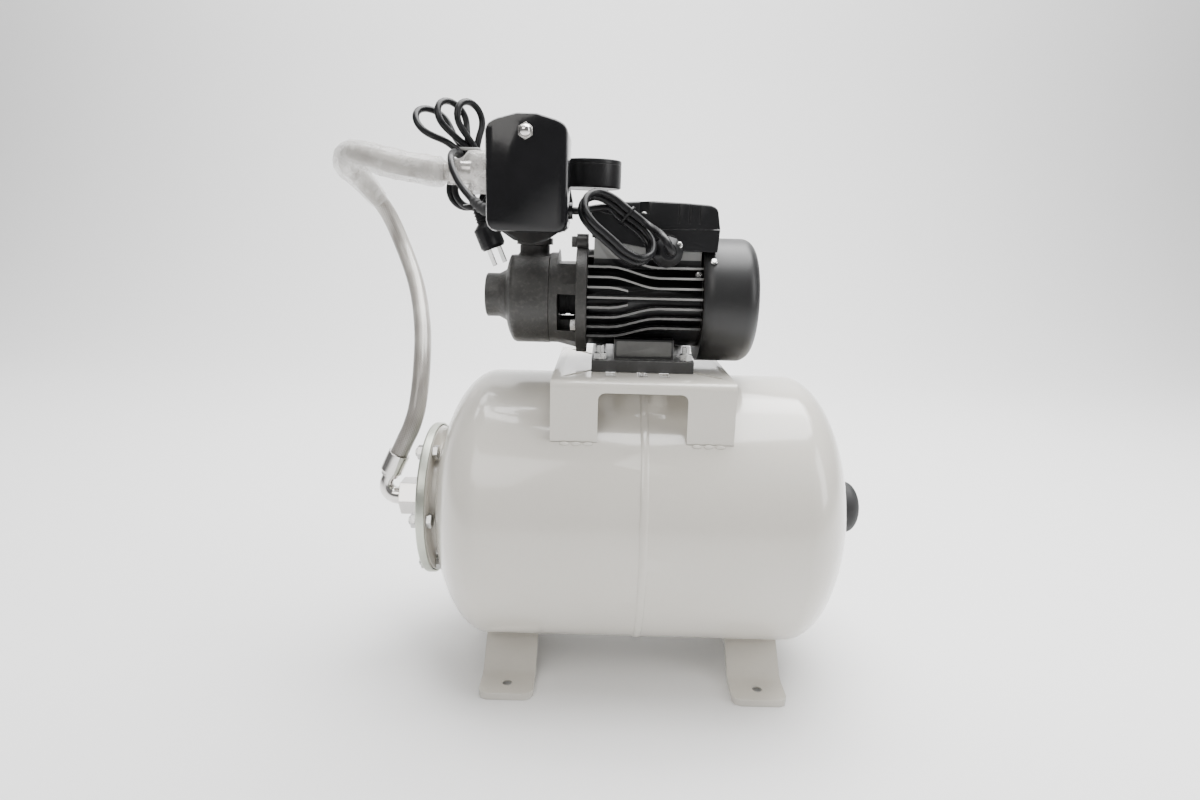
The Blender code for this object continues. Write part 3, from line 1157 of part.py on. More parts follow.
def build_casing():
    axis = (0.0, 0.0, SHAFT_Z)
    body = turned((
        (SUCTION_PORT_X[0], SUCTION_BORE_RADIUS), (SUCTION_PORT_X[0], SUCTION_PORT_RADIUS),
        (SUCTION_PORT_X[1], SUCTION_PORT_RADIUS), (SUCTION_CONE_X, SUCTION_CONE_RADIUS),
        (CASING_FRONT_X, CASING_FACE_RADIUS), (CASING_CHAMFER_X, ADAPTER_RADIUS),
        (CASING_BACK_X, ADAPTER_RADIUS), (CASING_BACK_X, CHAMBER_RADIUS),
        (CHAMBER_X, CHAMBER_RADIUS), (CHAMBER_X, SUCTION_BORE_RADIUS)),
        LARGE_SIDES, "X", axis)
    casing = add_piece("pump_casing", as_mesh("pump_casing", body), "charcoal paint")
    flat_z = SHAFT_Z + CASING_FLAT_TOP
    clear = ADAPTER_RADIUS + 0.010
    cut(casing, block((CASING_FRONT_X - 0.001, CASING_BACK_X + 0.001), (-clear, clear),
                      (flat_z, SHAFT_Z + clear)))
    port = turned(((flat_z - 0.0012, 0.0), (flat_z - 0.0012, PORT_RADIUS + PORT_FLARE),
                   (flat_z + 0.0010, PORT_RADIUS + PORT_FLARE), (flat_z + 0.0030, PORT_RADIUS),
                   (PORT_TOP_Z, PORT_RADIUS), (PORT_TOP_Z, 0.0)),
                  MEDIUM_SIDES, "Z", (PORT_X, 0.0, 0.0))
    join(casing, port)
    cut(casing, rod(flat_z - 0.0075, PORT_TOP_Z + 0.002, PORT_BORE_RADIUS, MEDIUM_SIDES, "Z",
                    (PORT_X, 0.0, 0.0)))


def build_impeller():
    front = CHAMBER_X + (CHAMBER_DEPTH - IMPELLER_THICKNESS) / 2
    back = front + IMPELLER_THICKNESS
    root_radius = IMPELLER_RADIUS - IMPELLER_VANE_DEPTH
    outline = []
    for k in range(IMPELLER_VANES):
        middle = 2 * pi * k / IMPELLER_VANES
        half = pi / IMPELLER_VANES * 0.38
        for radius, angle in ((root_radius, middle - half), (IMPELLER_RADIUS, middle - half),
                              (IMPELLER_RADIUS, middle + half), (root_radius, middle + half)):
            outline.append((radius * cos(angle), radius * sin(angle)))
    wheel = prism(outline, front, back, "X")
    impeller = add_piece("impeller", as_mesh("impeller", wheel), "brass", (0.0, 0.0, SHAFT_Z))
    cut(impeller, rod(front - 0.002, back + 0.002, SHAFT_SEAL_RADIUS + GAP, SMALL_SIDES, "X",
                      (0.0, 0.0, SHAFT_Z)))


def split_line(lift):
    """Where the terminal box and its lid meet, from the right to the left."""
    return [(BOX_RIGHT_X, SHAFT_Z + SPLIT_RIGHT + lift),
            (SPLIT_KNEE_X, SHAFT_Z + SPLIT_KNEE + lift),
            (SPLIT_SHOULDER_X, SHAFT_Z + SPLIT_SHOULDER + lift),
            (BOX_LEFT_X, SHAFT_Z + SPLIT_LEFT + lift)]


def build_terminal_box():
    bottom = [(BOX_LEFT_X + 0.0012, SHAFT_Z + BOX_BOTTOM_LEFT),
              (BOX_KNEE_X, SHAFT_Z + BOX_BOTTOM_KNEE),
              (BOX_RIGHT_X - 0.0014, SHAFT_Z + BOX_BOTTOM_RIGHT)]
    tub = prism(bottom + split_line(0.0), -BOX_HALF_DEPTH, BOX_HALF_DEPTH)
    box = add_piece("terminal_box", as_mesh("terminal_box", tub), "black plastic")
    hollow = [(BOX_LEFT_X + 0.006, SHAFT_Z + BOX_BOTTOM_LEFT + BOX_FLOOR + 0.002),
              (BOX_KNEE_X, SHAFT_Z + BOX_BOTTOM_KNEE + BOX_FLOOR),
              (BOX_HOLLOW_END_X, SHAFT_Z + BOX_BOTTOM_RIGHT + BOX_FLOOR + 0.0006),
              (BOX_HOLLOW_END_X, SHAFT_Z + 0.095), (SPLIT_SHOULDER_X + 0.002, SHAFT_Z + 0.095),
              (BOX_LEFT_X + 0.006, SHAFT_Z + 0.095)]
    deep = BOX_HALF_DEPTH - BOX_SIDE_WALL
    cut(box, prism(hollow, -deep, deep))
    cut(box, rod(HOUSING_REAR_X - BOX_RELIEF, BOX_RIGHT_X + 0.005, FAN_COVER_RADIUS + BOX_RELIEF,
                 LARGE_SIDES, "X", (0.0, 0.0, SHAFT_Z)))
    boss_z = SHAFT_Z + GLAND_RISE
    boss = rod(-BOX_HALF_DEPTH - GLAND_BOSS_REACH, -BOX_HALF_DEPTH + 0.0002, GLAND_BOSS_RADIUS,
               MEDIUM_SIDES, "Y", (GLAND_X, 0.0, boss_z))
    join(box, boss)

    top = [(x, SHAFT_Z + rise) for x, rise in LID_TOP]
    shell = prism(split_line(GAP)[::-1] + top, -BOX_HALF_DEPTH, BOX_HALF_DEPTH)
    crown = min(rise for x, rise in LID_TOP) + SHAFT_Z - 0.0001
    round_edges(shell, lambda co: co.z > crown and co.x < LID_TOP[0][0] + 0.0001, EDGE_ROUND)
    lid = add_piece("terminal_box_lid", as_mesh("terminal_box_lid", shell), "black plastic")
    roof = [(x, SHAFT_Z + rise - LID_ROOF) for x, rise in LID_TOP[1:-1]]
    pocket = [(SPLIT_SHOULDER_X + 0.010, SHAFT_Z + SPLIT_SHOULDER - 0.006),
              (SPLIT_KNEE_X, SHAFT_Z + SPLIT_KNEE - 0.004),
              (BOX_RIGHT_X - LID_WALL, SHAFT_Z + SPLIT_RIGHT - 0.004),
              (BOX_RIGHT_X - LID_WALL - 0.0014, SHAFT_Z + LID_TOP[0][1] - LID_ROOF)]
    cut(lid, prism(pocket + roof, -deep, deep))
    notches = []
    for side in (-1, 1):
        face = side * (BOX_HALF_DEPTH + 0.002)
        y_range = sorted((face, side * (BOX_HALF_DEPTH - LID_NOTCH_DEPTH)))
        notches.append(block(LID_NOTCH_X, y_range, (SHAFT_Z + LID_NOTCH_FLOOR, SHAFT_Z + 0.100)))
        y_range = sorted((face, side * (BOX_HALF_DEPTH - LID_GROOVE_DEPTH)))
        for x in LID_GROOVES:
            notches.append(block((x - LID_GROOVE_WIDTH / 2, x + LID_GROOVE_WIDTH / 2), y_range,
                                 (SHAFT_Z + LID_GROOVE_FLOOR, SHAFT_Z + 0.100)))
    cut(lid, *notches)

    capacitor_z = SHAFT_Z + BOX_BOTTOM_KNEE + BOX_FLOOR + GAP + CAPACITOR_RADIUS
    can = rod(CAPACITOR_X[0], CAPACITOR_X[1], CAPACITOR_RADIUS, SMALL_SIDES)
    add_piece("capacitor", as_mesh("capacitor", can), "white", (0.0, 0.0, capacitor_z))

    start = BOX_HALF_DEPTH + GLAND_BOSS_REACH + GAP
    gland = turned((
        (-start, 0.0), (-start, 0.88 * GLAND_RADIUS), (-start - 0.0030, 0.88 * GLAND_RADIUS),
        (-start - 0.0030, GLAND_RADIUS), (-start - 0.65 * GLAND_LENGTH, GLAND_RADIUS),
        (-start - 0.88 * GLAND_LENGTH, 0.72 * GLAND_RADIUS),
        (-start - GLAND_LENGTH, 0.55 * GLAND_RADIUS), (-start - GLAND_LENGTH, 0.0)),
        SMALL_SIDES, "Y")
    add_piece("motor_gland", as_mesh("motor_gland", gland), "black plastic",
              (GLAND_X, 0.0, boss_z))


def build_fitting():
    base = PORT_TOP_Z + GAP
    top = ARM_Z + OUTLET_RISE
    boss = top - OUTLET_BOSS_HEIGHT
    column = turned((
        (base - FITTING_NIPPLE_LENGTH, 0.0), (base - FITTING_NIPPLE_LENGTH, PORT_BORE_RADIUS - GAP),
        (base, PORT_BORE_RADIUS - GAP), (base, FITTING_COLLAR_RADIUS),
        (base + FITTING_COLLAR_HEIGHT, FITTING_COLLAR_RADIUS),
        (base + FITTING_COLLAR_HEIGHT, FITTING_RADIUS), (boss - 0.003, FITTING_RADIUS),
        (boss, OUTLET_BOSS_RADIUS), (top, OUTLET_BOSS_RADIUS), (top, OUTLET_BORE_RADIUS),
        (boss, OUTLET_BORE_RADIUS), (boss, 0.0)), MEDIUM_SIDES, "Z", (PORT_X, 0.0, 0.0))
    fitting = add_piece("five_way_fitting", as_mesh("five_way_fitting", column), "chrome")
    join(fitting, rod(HOSE_ARM_X, PORT_X - 0.005, HOSE_ARM_RADIUS, SMALL_SIDES, "X",
                      (0.0, 0.0, ARM_Z)),
         rod(PORT_X + 0.005, GAUGE_ARM_X, GAUGE_ARM_RADIUS, SMALL_SIDES, "X", (0.0, 0.0, ARM_Z)),
         rod(SWITCH_ARM_Y, -0.005, SWITCH_ARM_RADIUS, SMALL_SIDES, "Y",
             (PORT_X, 0.0, SWITCH_PORT_Z)))
    cut(fitting,
        rod(base - 0.020, SWITCH_PORT_Z, FITTING_BORE_RADIUS, SMALL_SIDES, "Z", (PORT_X, 0.0, 0.0)),
        rod(GAUGE_ARM_X - 0.0080, GAUGE_ARM_X + 0.002, FITTING_BORE_RADIUS, SMALL_SIDES, "X",
            (0.0, 0.0, ARM_Z)),
        rod(SWITCH_ARM_Y - 0.002, SWITCH_ARM_Y + 0.0085, FITTING_BORE_RADIUS, SMALL_SIDES, "Y",
            (PORT_X, 0.0, SWITCH_PORT_Z)))


def build_gauge():
    low = ARM_Z - GAUGE_HEIGHT / 2
    high = ARM_Z + GAUGE_HEIGHT / 2
    dial_z = high - GAUGE_DIAL_DEPTH
    bezel = GAUGE_RADIUS - GAUGE_RIM_WALL
    place = (GAUGE_X, 0.0, 0.0)
    case = turned((
        (low, 0.0), (low, GAUGE_RADIUS - 0.0016), (low + 0.0016, GAUGE_RADIUS),
        (high - 0.0012, GAUGE_RADIUS), (high, GAUGE_RADIUS - 0.0008), (high, bezel),
        (dial_z, bezel), (dial_z, 0.0)), LARGE_SIDES, "Z", place)
    gauge = add_piece("gauge_case", as_mesh("gauge_case", case), "black plastic")
    stem_end = GAUGE_ARM_X - GAUGE_STEM_REACH
    join(gauge, rod(stem_end, GAUGE_X - GAUGE_RADIUS + 0.004, FITTING_BORE_RADIUS - GAP,
                    SMALL_SIDES, "X", (0.0, 0.0, ARM_Z)))
    hub = 2 * POINTER_HALF_WIDTH
    outline = ((-POINTER_TAIL, -POINTER_HALF_WIDTH), (-hub, -POINTER_HALF_WIDTH), (0.0, -hub),
               (hub, -POINTER_HALF_WIDTH), (POINTER_LENGTH, 0.0), (hub, POINTER_HALF_WIDTH),
               (0.0, hub), (-hub, POINTER_HALF_WIDTH), (-POINTER_TAIL, POINTER_HALF_WIDTH))
    needle = prism(outline, GAP, GAP + POINTER_THICKNESS, "Z")
    add_piece("gauge_pointer", as_mesh("gauge_pointer", needle), "black paint",
              (GAUGE_X, 0.0, dial_z), (0.0, 0.0, radians(POINTER_ZERO)))
    glass = rod(high - GLASS_DROP - GLASS_THICKNESS, high - GLASS_DROP, bezel - GAP,
                LARGE_SIDES, "Z", place)
    add_piece("gauge_window", as_mesh("gauge_window", glass), "glass")


def switch_outline(inset):
    """Front outline of the pressure switch: a box with rounded corners and an arched top."""
    left = SWITCH_X[0] + inset
    right = SWITCH_X[1] - inset
    low = SWITCH_Z[0] + inset
    shoulder = SWITCH_Z[1] - inset
    corner = SWITCH_CORNER - inset
    return filleted((
        (left, low, corner), (right, low, corner), (right, shoulder, corner),
        ((left + right) / 2, shoulder + 2 * SWITCH_CROWN, SWITCH_ARCH), (left, shoulder, corner)))


def build_switch():
    stud_x = (SWITCH_X[0] + SWITCH_X[1]) / 2
    plate = prism(switch_outline(0.0), SWITCH_SPLIT_Y, SWITCH_SPLIT_Y + SWITCH_PLATE)
    base = add_piece("switch_base", as_mesh("switch_base", plate), "black plastic")
    plate_back = SWITCH_SPLIT_Y + SWITCH_PLATE
    back = plate_back + DIAPHRAGM_DEPTH
    nipple_start = SWITCH_ARM_Y - 2 * GAP
    drum = turned((
        (plate_back - 0.001, 0.0), (plate_back - 0.001, DIAPHRAGM_RADIUS),
        (back - 0.002, DIAPHRAGM_RADIUS), (back, DIAPHRAGM_RADIUS - 0.002),
        (back, SWITCH_NECK_RADIUS), (nipple_start - 0.003, SWITCH_NECK_RADIUS - 0.004),
        (nipple_start, SWITCH_NECK_RADIUS - 0.005), (nipple_start, FITTING_BORE_RADIUS - GAP),
        (SWITCH_ARM_Y + 0.0080, FITTING_BORE_RADIUS - GAP), (SWITCH_ARM_Y + 0.0080, 0.0)),
        MEDIUM_SIDES, "Y", (PORT_X, 0.0, SWITCH_PORT_Z))
    join(base, drum)
    nut_face = SWITCH_FRONT_Y - GAP
    stud_end = nut_face - COVER_NUT_BORE_DEPTH + 0.001
    lever_back = SWITCH_SPLIT_Y - 0.0050
    join(base, rod(stud_end, SWITCH_SPLIT_Y + 0.001, STUD_RADIUS, 8, "Y", (stud_x, 0.0, STUD_Z)),
         rod(lever_back + GAP, SWITCH_SPLIT_Y + 0.001, PLUNGER_RADIUS, 8, "Y",
             (stud_x, 0.0, SWITCH_PORT_Z)),
         block((stud_x - LEVER_WIDTH / 2, stud_x + LEVER_WIDTH / 2),
               (lever_back + LEVER_HUB_RADIUS - LEVER_THICKNESS / 2 + GAP, SWITCH_SPLIT_Y + 0.001),
               (LEVER_PIVOT_Z - 0.004, LEVER_PIVOT_Z + 0.004)))

    lever_y = lever_back - LEVER_THICKNESS / 2
    leaf = block((-LEVER_WIDTH / 2, LEVER_WIDTH / 2), (-LEVER_THICKNESS / 2, LEVER_THICKNESS / 2),
                 (0.0, LEVER_LENGTH))
    place = (stud_x, lever_y, LEVER_PIVOT_Z)
    lever = add_piece("switch_lever", as_mesh("switch_lever", leaf), "bright steel", place)
    join(lever, rod(-LEVER_WIDTH / 2 + 0.0002, LEVER_WIDTH / 2 - 0.0002, LEVER_HUB_RADIUS,
                    SMALL_SIDES, "X", place))

    shell = prism(switch_outline(0.0), SWITCH_FRONT_Y, SWITCH_SPLIT_Y - GAP)
    front = SWITCH_FRONT_Y + 1e-6
    round_edges(shell, lambda co: co.y < front, SWITCH_EDGE)
    cover = add_piece("switch_cover", as_mesh("switch_cover", shell), "black plastic")
    cut(cover, prism(switch_outline(SWITCH_WALL), SWITCH_FRONT_Y + SWITCH_WALL,
                     SWITCH_SPLIT_Y + 0.002))
    outlet_places = (0.0, OUTLET_Y, OUTLET_Z)
    join(cover, rod(SWITCH_X[0] - OUTLET_REACH, SWITCH_X[0] + 0.001, OUTLET_RADIUS, SMALL_SIDES,
                    "X", outlet_places),
         rod(SWITCH_X[1] - 0.001, SWITCH_X[1] + OUTLET_REACH, OUTLET_RADIUS, SMALL_SIDES, "X",
             outlet_places))
    cut(cover, rod(SWITCH_FRONT_Y - 0.002, SWITCH_FRONT_Y + 0.006, STUD_RADIUS + GAP, 8, "Y",
                   (stud_x, 0.0, STUD_Z)))

    half = COVER_NUT_FLATS / 2
    bore = STUD_RADIUS + GAP
    hex_end = -COVER_NUT_HEX
    nut = stacked((
        (-COVER_NUT_BORE_DEPTH, bore, False), (0.0, bore, False), (0.0, half, True),
        (hex_end, half, True), (hex_end, 0.90 * half, False),
        (hex_end - 0.55 * COVER_NUT_DOME, 0.82 * half, False),
        (hex_end - 0.90 * COVER_NUT_DOME, 0.45 * half, False),
        (hex_end - COVER_NUT_DOME, 0.12 * half, False)), SMALL_SIDES, "Y")
    add_piece("cover_nut", as_mesh("cover_nut", nut), "chrome", (stud_x, nut_face, STUD_Z))


def build_hose_fittings():
    half = NUT_FLATS / 2
    nut_start = HOSE_ARM_X + NUT_OVERLAP
    nut_end = nut_start - NUT_LENGTH
    bore = HOSE_ARM_RADIUS + GAP
    nut = stacked((
        (HOSE_ARM_X - GAP, bore, False), (nut_start, bore, False), (nut_start, half, True),
        (nut_end, half, True), (nut_end, FERRULE_RADIUS, False),
        (nut_end - FERRULE_LENGTH, FERRULE_RADIUS, False)), SMALL_SIDES, "X",
        (0.0, 0.0, ARM_Z), 30.0)
    add_piece("hose_nut", as_mesh("hose_nut", nut), "chrome")

    socket_start = FLANGE_BOSS_X - GAP
    socket_end = socket_start - SOCKET_LENGTH
    half = SOCKET_FLATS / 2
    shank = FLANGE_THREAD_RADIUS - GAP
    socket = stacked((
        (socket_start + SOCKET_SHANK, shank, False), (socket_start, shank, False),
        (socket_start, half, True), (socket_end, half, True),
        (socket_end, SOCKET_BORE_RADIUS, False),
        (socket_end + SOCKET_BORE_DEPTH, SOCKET_BORE_RADIUS, False)), SMALL_SIDES, "X",
        (0.0, 0.0, TANK_AXIS_Z), 90.0)
    add_piece("reducing_socket", as_mesh("reducing_socket", socket), "chrome")

    bend_x = socket_end - ELBOW_RUN
    centre = Vector((bend_x, TANK_AXIS_Z + ELBOW_BEND))
    stations = [(Vector((socket_end + SOCKET_BORE_DEPTH - 0.001, TANK_AXIS_Z)),
                 Vector((-1.0, 0.0)), SOCKET_BORE_RADIUS - GAP)]
    for k in range(ELBOW_STEPS + 1):
        turn = radians(ELBOW_TURN) * k / ELBOW_STEPS
        spot = centre + Vector((-sin(turn), -cos(turn))) * ELBOW_BEND
        narrow = (ELBOW_RADIUS - ELBOW_TIP_RADIUS) * k / ELBOW_STEPS
        stations.append((spot, Vector((-cos(turn), sin(turn))), ELBOW_RADIUS - narrow))
    tip_start, tip_way, tip_radius = stations[-1]
    stations.append((tip_start + tip_way * ELBOW_TIP, tip_way, tip_radius))
    rings = []
    for spot, way, radius in stations:
        side = Vector((-way.y, way.x))
        ring = []
        for k in range(SMALL_SIDES):
            angle = 2 * pi * k / SMALL_SIDES
            place = spot + side * (radius * cos(angle))
            ring.append((place.x, radius * sin(angle), place.y))
        rings.append(ring)
    add_piece("elbow", as_mesh("elbow", loft(rings)), "chrome")

    tip_end = tip_start + tip_way * ELBOW_TIP
    sleeve_start = tip_end - tip_way * SLEEVE_OVERLAP
    bore = ELBOW_TIP_RADIUS + GAP
    sleeve = stacked((
        (SLEEVE_OVERLAP + GAP, bore, False), (0.0, bore, False), (0.0, SLEEVE_RADIUS, False),
        (SLEEVE_LENGTH, SLEEVE_RADIUS, False), (SLEEVE_LENGTH, FERRULE_RADIUS, False),
        (SLEEVE_OVERLAP + FERRULE_LENGTH, FERRULE_RADIUS, False)), SMALL_SIDES)
    tilt = atan2(tip_way.y, tip_way.x)
    add_piece("hose_ferrule", as_mesh("hose_ferrule", sleeve), "chrome",
              (sleeve_start.x, 0.0, sleeve_start.y), (0.0, -tilt, 0.0))
    hose_end = sleeve_start + tip_way * (SLEEVE_OVERLAP + FERRULE_LENGTH + GAP)
    hose_start = nut_end - FERRULE_LENGTH - GAP
    cord("hose", (hose_start, 0.0, ARM_Z), (-1.0, 0.0, 0.0), HOSE_ROUTE,
         (hose_end.x, 0.0, hose_end.y), (tip_way.x, 0.0, tip_way.y), HOSE_RADIUS, "braid", 3)


def build_leads():
    start = (SWITCH_X[1] + OUTLET_REACH + GAP, OUTLET_Y, OUTLET_Z)
    gland_face = -(BOX_HALF_DEPTH + GLAND_BOSS_REACH + 2 * GAP + GLAND_LENGTH)
    end = (GLAND_X, gland_face, SHAFT_Z + GLAND_RISE)
    cord("motor_lead", start, (1.0, 0.0, 0.0), MOTOR_LEAD_ROUTE, end, (0.0, -1.0, 0.0),
         LEAD_RADIUS, "rubber", 2)
    hank = prism(MOTOR_HANK_OUTLINE, MOTOR_HANK_FRONT_Y, MOTOR_HANK_FRONT_Y + MOTOR_HANK_DEPTH)
    add_piece("motor_lead_hank", as_mesh("motor_lead_hank", hank), "rubber")

    start = (SWITCH_X[0] - OUTLET_REACH - GAP, OUTLET_Y, OUTLET_Z)
    end = plug_matrix() @ Vector((0.0, 0.0, GAP))
    way = plug_matrix().to_3x3() @ Vector((0.0, 0.0, 1.0))
    cord("mains_lead", start, (-1.0, 0.0, 0.0), MAINS_LEAD_ROUTE, end, way, LEAD_RADIUS,
         "rubber", 2)
    hank = prism(MAINS_HANK_OUTLINE, *MAINS_HANK_Y)
    add_piece("mains_lead_hank", as_mesh("mains_lead_hank", hank), "rubber")


def plug_matrix():
    """Place of the plug: its origin is where the lead enters, and it hangs along its -Z."""
    return (Matrix.Translation(PLUG_TOP) @ Matrix.Rotation(radians(-PLUG_TILT), 4, "Y")
            @ Matrix.Rotation(radians(PLUG_TWIST), 4, "Z"))


def build_plug():
    rings = []
    for drop, width, depth in ((0.0, 0.0095, 0.0085), (PLUG_RELIEF, 0.0120, 0.0100),
                               (PLUG_RELIEF + 0.0050, PLUG_WIDTH, PLUG_DEPTH),
                               (PLUG_RELIEF + PLUG_BODY - 0.003, PLUG_WIDTH, PLUG_DEPTH),
                               (PLUG_RELIEF + PLUG_BODY, 0.86 * PLUG_WIDTH, 0.84 * PLUG_DEPTH)):
        corner = 0.35 * depth
        outline = filleted(((-width / 2, -depth / 2, corner), (width / 2, -depth / 2, corner),
                            (width / 2, depth / 2, corner), (-width / 2, depth / 2, corner)), 2)
        rings.append([(u, v, -drop) for u, v in outline])
    plug = add_piece("plug", as_mesh("plug", loft(rings)), "black plastic")
    plug.matrix_local = plug_matrix()
    end = PLUG_RELIEF + PLUG_BODY
    blades = []
    for side in (-1, 1):
        middle = side * BLADE_SPACING / 2
        blade = block((middle - BLADE_THICKNESS / 2, middle + BLADE_THICKNESS / 2),
                      (-BLADE_WIDTH / 2, BLADE_WIDTH / 2), (-end - BLADE_LENGTH, 0.002 - end))
        blade.transform(plug_matrix())
        blades.append(blade)
    join(plug, *blades)


build_tank()
build_membrane()
build_flange()
build_air_valve()
build_feet()
build_bracket()
build_motor_housing()
build_base_bolts()
build_motor_insides()
build_end_shield()
build_fan_cover()
build_fan()
build_adapter()
build_casing()
build_impeller()
build_terminal_box()
build_fitting()
build_gauge()
build_switch()
build_hose_fittings()
build_leads()
build_plug()
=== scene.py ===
import bmesh
import bpy
import json
from math import acos, atan2, cos, pi, radians, sin, sqrt
from mathutils import Matrix, Vector, noise

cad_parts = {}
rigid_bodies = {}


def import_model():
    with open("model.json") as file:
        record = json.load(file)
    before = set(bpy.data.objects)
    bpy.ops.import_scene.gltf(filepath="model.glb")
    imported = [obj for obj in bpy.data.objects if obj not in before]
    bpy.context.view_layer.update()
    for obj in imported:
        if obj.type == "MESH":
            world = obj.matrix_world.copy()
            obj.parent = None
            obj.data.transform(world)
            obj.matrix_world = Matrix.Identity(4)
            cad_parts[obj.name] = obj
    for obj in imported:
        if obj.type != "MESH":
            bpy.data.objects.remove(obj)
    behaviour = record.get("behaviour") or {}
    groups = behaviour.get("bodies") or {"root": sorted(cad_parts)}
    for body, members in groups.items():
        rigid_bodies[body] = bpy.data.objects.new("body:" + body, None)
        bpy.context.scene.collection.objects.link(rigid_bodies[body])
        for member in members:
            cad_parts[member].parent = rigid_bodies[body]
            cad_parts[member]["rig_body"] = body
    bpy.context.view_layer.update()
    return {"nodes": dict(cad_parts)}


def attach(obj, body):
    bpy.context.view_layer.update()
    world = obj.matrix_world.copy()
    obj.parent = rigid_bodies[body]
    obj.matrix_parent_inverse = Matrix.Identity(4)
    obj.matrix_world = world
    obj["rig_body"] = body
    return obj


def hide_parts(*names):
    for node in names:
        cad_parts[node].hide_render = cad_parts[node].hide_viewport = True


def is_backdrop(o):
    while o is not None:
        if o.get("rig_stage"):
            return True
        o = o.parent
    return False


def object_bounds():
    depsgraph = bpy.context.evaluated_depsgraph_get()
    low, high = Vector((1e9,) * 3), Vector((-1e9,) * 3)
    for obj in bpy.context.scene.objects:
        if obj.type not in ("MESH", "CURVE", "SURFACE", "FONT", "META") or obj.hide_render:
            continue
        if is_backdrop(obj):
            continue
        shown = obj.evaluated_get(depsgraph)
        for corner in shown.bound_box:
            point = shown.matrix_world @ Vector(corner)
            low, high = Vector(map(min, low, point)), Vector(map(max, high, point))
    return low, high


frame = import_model()
print("frame loaded with", len(frame["nodes"]), "nodes")

rootShift = 0.0176  # the drawing's X = 0 lies this far along the frame's X
shaftZ = 0.3734
tankZ = 0.1615


# A point of the drawing as a point of the frame
def at(x, y, z):
    return Vector((x + rootShift, y, z))


yWay = Vector((0, 1, 0))


# Camera, at the height and turn of the photograph
cameraSetup = {"place": (-0.01853, -0.72282, 0.43489), "lens": 21.867, "yaw": -0.003, "pitch": 0.225,
               "roll": 0.025}


def makeCamera(setup):
    yaw, pitch, roll = setup["yaw"], setup["pitch"], setup["roll"]
    ahead = Vector((sin(yaw) * cos(pitch), cos(yaw) * cos(pitch), -sin(pitch)))
    side = ahead.cross(Vector((0, 0, 1))).normalized()
    over = side.cross(ahead)
    right = side * cos(roll) + over * sin(roll)
    top = over * cos(roll) - side * sin(roll)
    data = bpy.data.cameras.new("camera")
    data.sensor_width = 36.0
    data.lens = setup["lens"]
    data.clip_start = 0.02
    camera = bpy.data.objects.new("camera", data)
    camera.matrix_world = Matrix.Translation(setup["place"]) @ Matrix((right, top, -ahead)).transposed().to_4x4()
    bpy.context.scene.collection.objects.link(camera)
    bpy.context.scene.camera = camera


makeCamera(cameraSetup)


# Node and material helpers
def fill(tree, node, inputs):
    for key, value in inputs.items():
        if isinstance(value, bpy.types.NodeSocket):
            tree.links.new(value, node.inputs[key])
        else:
            node.inputs[key].default_value = value


def add(tree, kind, inputs={}, **settings):
    node = tree.nodes.new(kind)
    for key, value in settings.items():
        setattr(node, key, value)
    fill(tree, node, inputs)
    return node


def mixed(tree, factor, first, second):
    return add(tree, "ShaderNodeMix", {0: factor, 6: first, 7: second}, data_type="RGBA").outputs[2]


def ranged(tree, value, low, high, toLow, toHigh):
    return add(tree, "ShaderNodeMapRange", {0: value, 1: low, 2: high, 3: toLow, 4: toHigh}).outputs[0]


def arithmetic(tree, operation, first, second=0.0):
    return add(tree, "ShaderNodeMath", {0: first, 1: second}, operation=operation).outputs[0]


def times(tree, first, second):
    return arithmetic(tree, "MULTIPLY", first, second)


def reachOf(tree, first, second):
    return arithmetic(tree, "SQRT", arithmetic(tree, "ADD", times(tree, first, first), times(tree, second, second)))


def cloudy(tree, vector, scale, detail, **more):
    inputs = {"Vector": vector, "Scale": scale, "Detail": detail, **more}
    return add(tree, "ShaderNodeTexNoise", inputs).outputs["Fac"]


def bumped(tree, height, strength, distance, **more):
    inputs = {"Height": height, "Strength": strength, "Distance": distance, **more}
    return add(tree, "ShaderNodeBump", inputs).outputs[0]


def shaded(colour, share):
    return tuple(min(1.0, c * share) for c in colour) + (1.0,)


# A material with its node tree, its shader and the Object coordinates
def newMaterial(name):
    material = bpy.data.materials.new(name)
    material.use_nodes = True
    tree = material.node_tree
    return material, tree, tree.nodes["Principled BSDF"], add(tree, "ShaderNodeTexCoord").outputs["Object"]


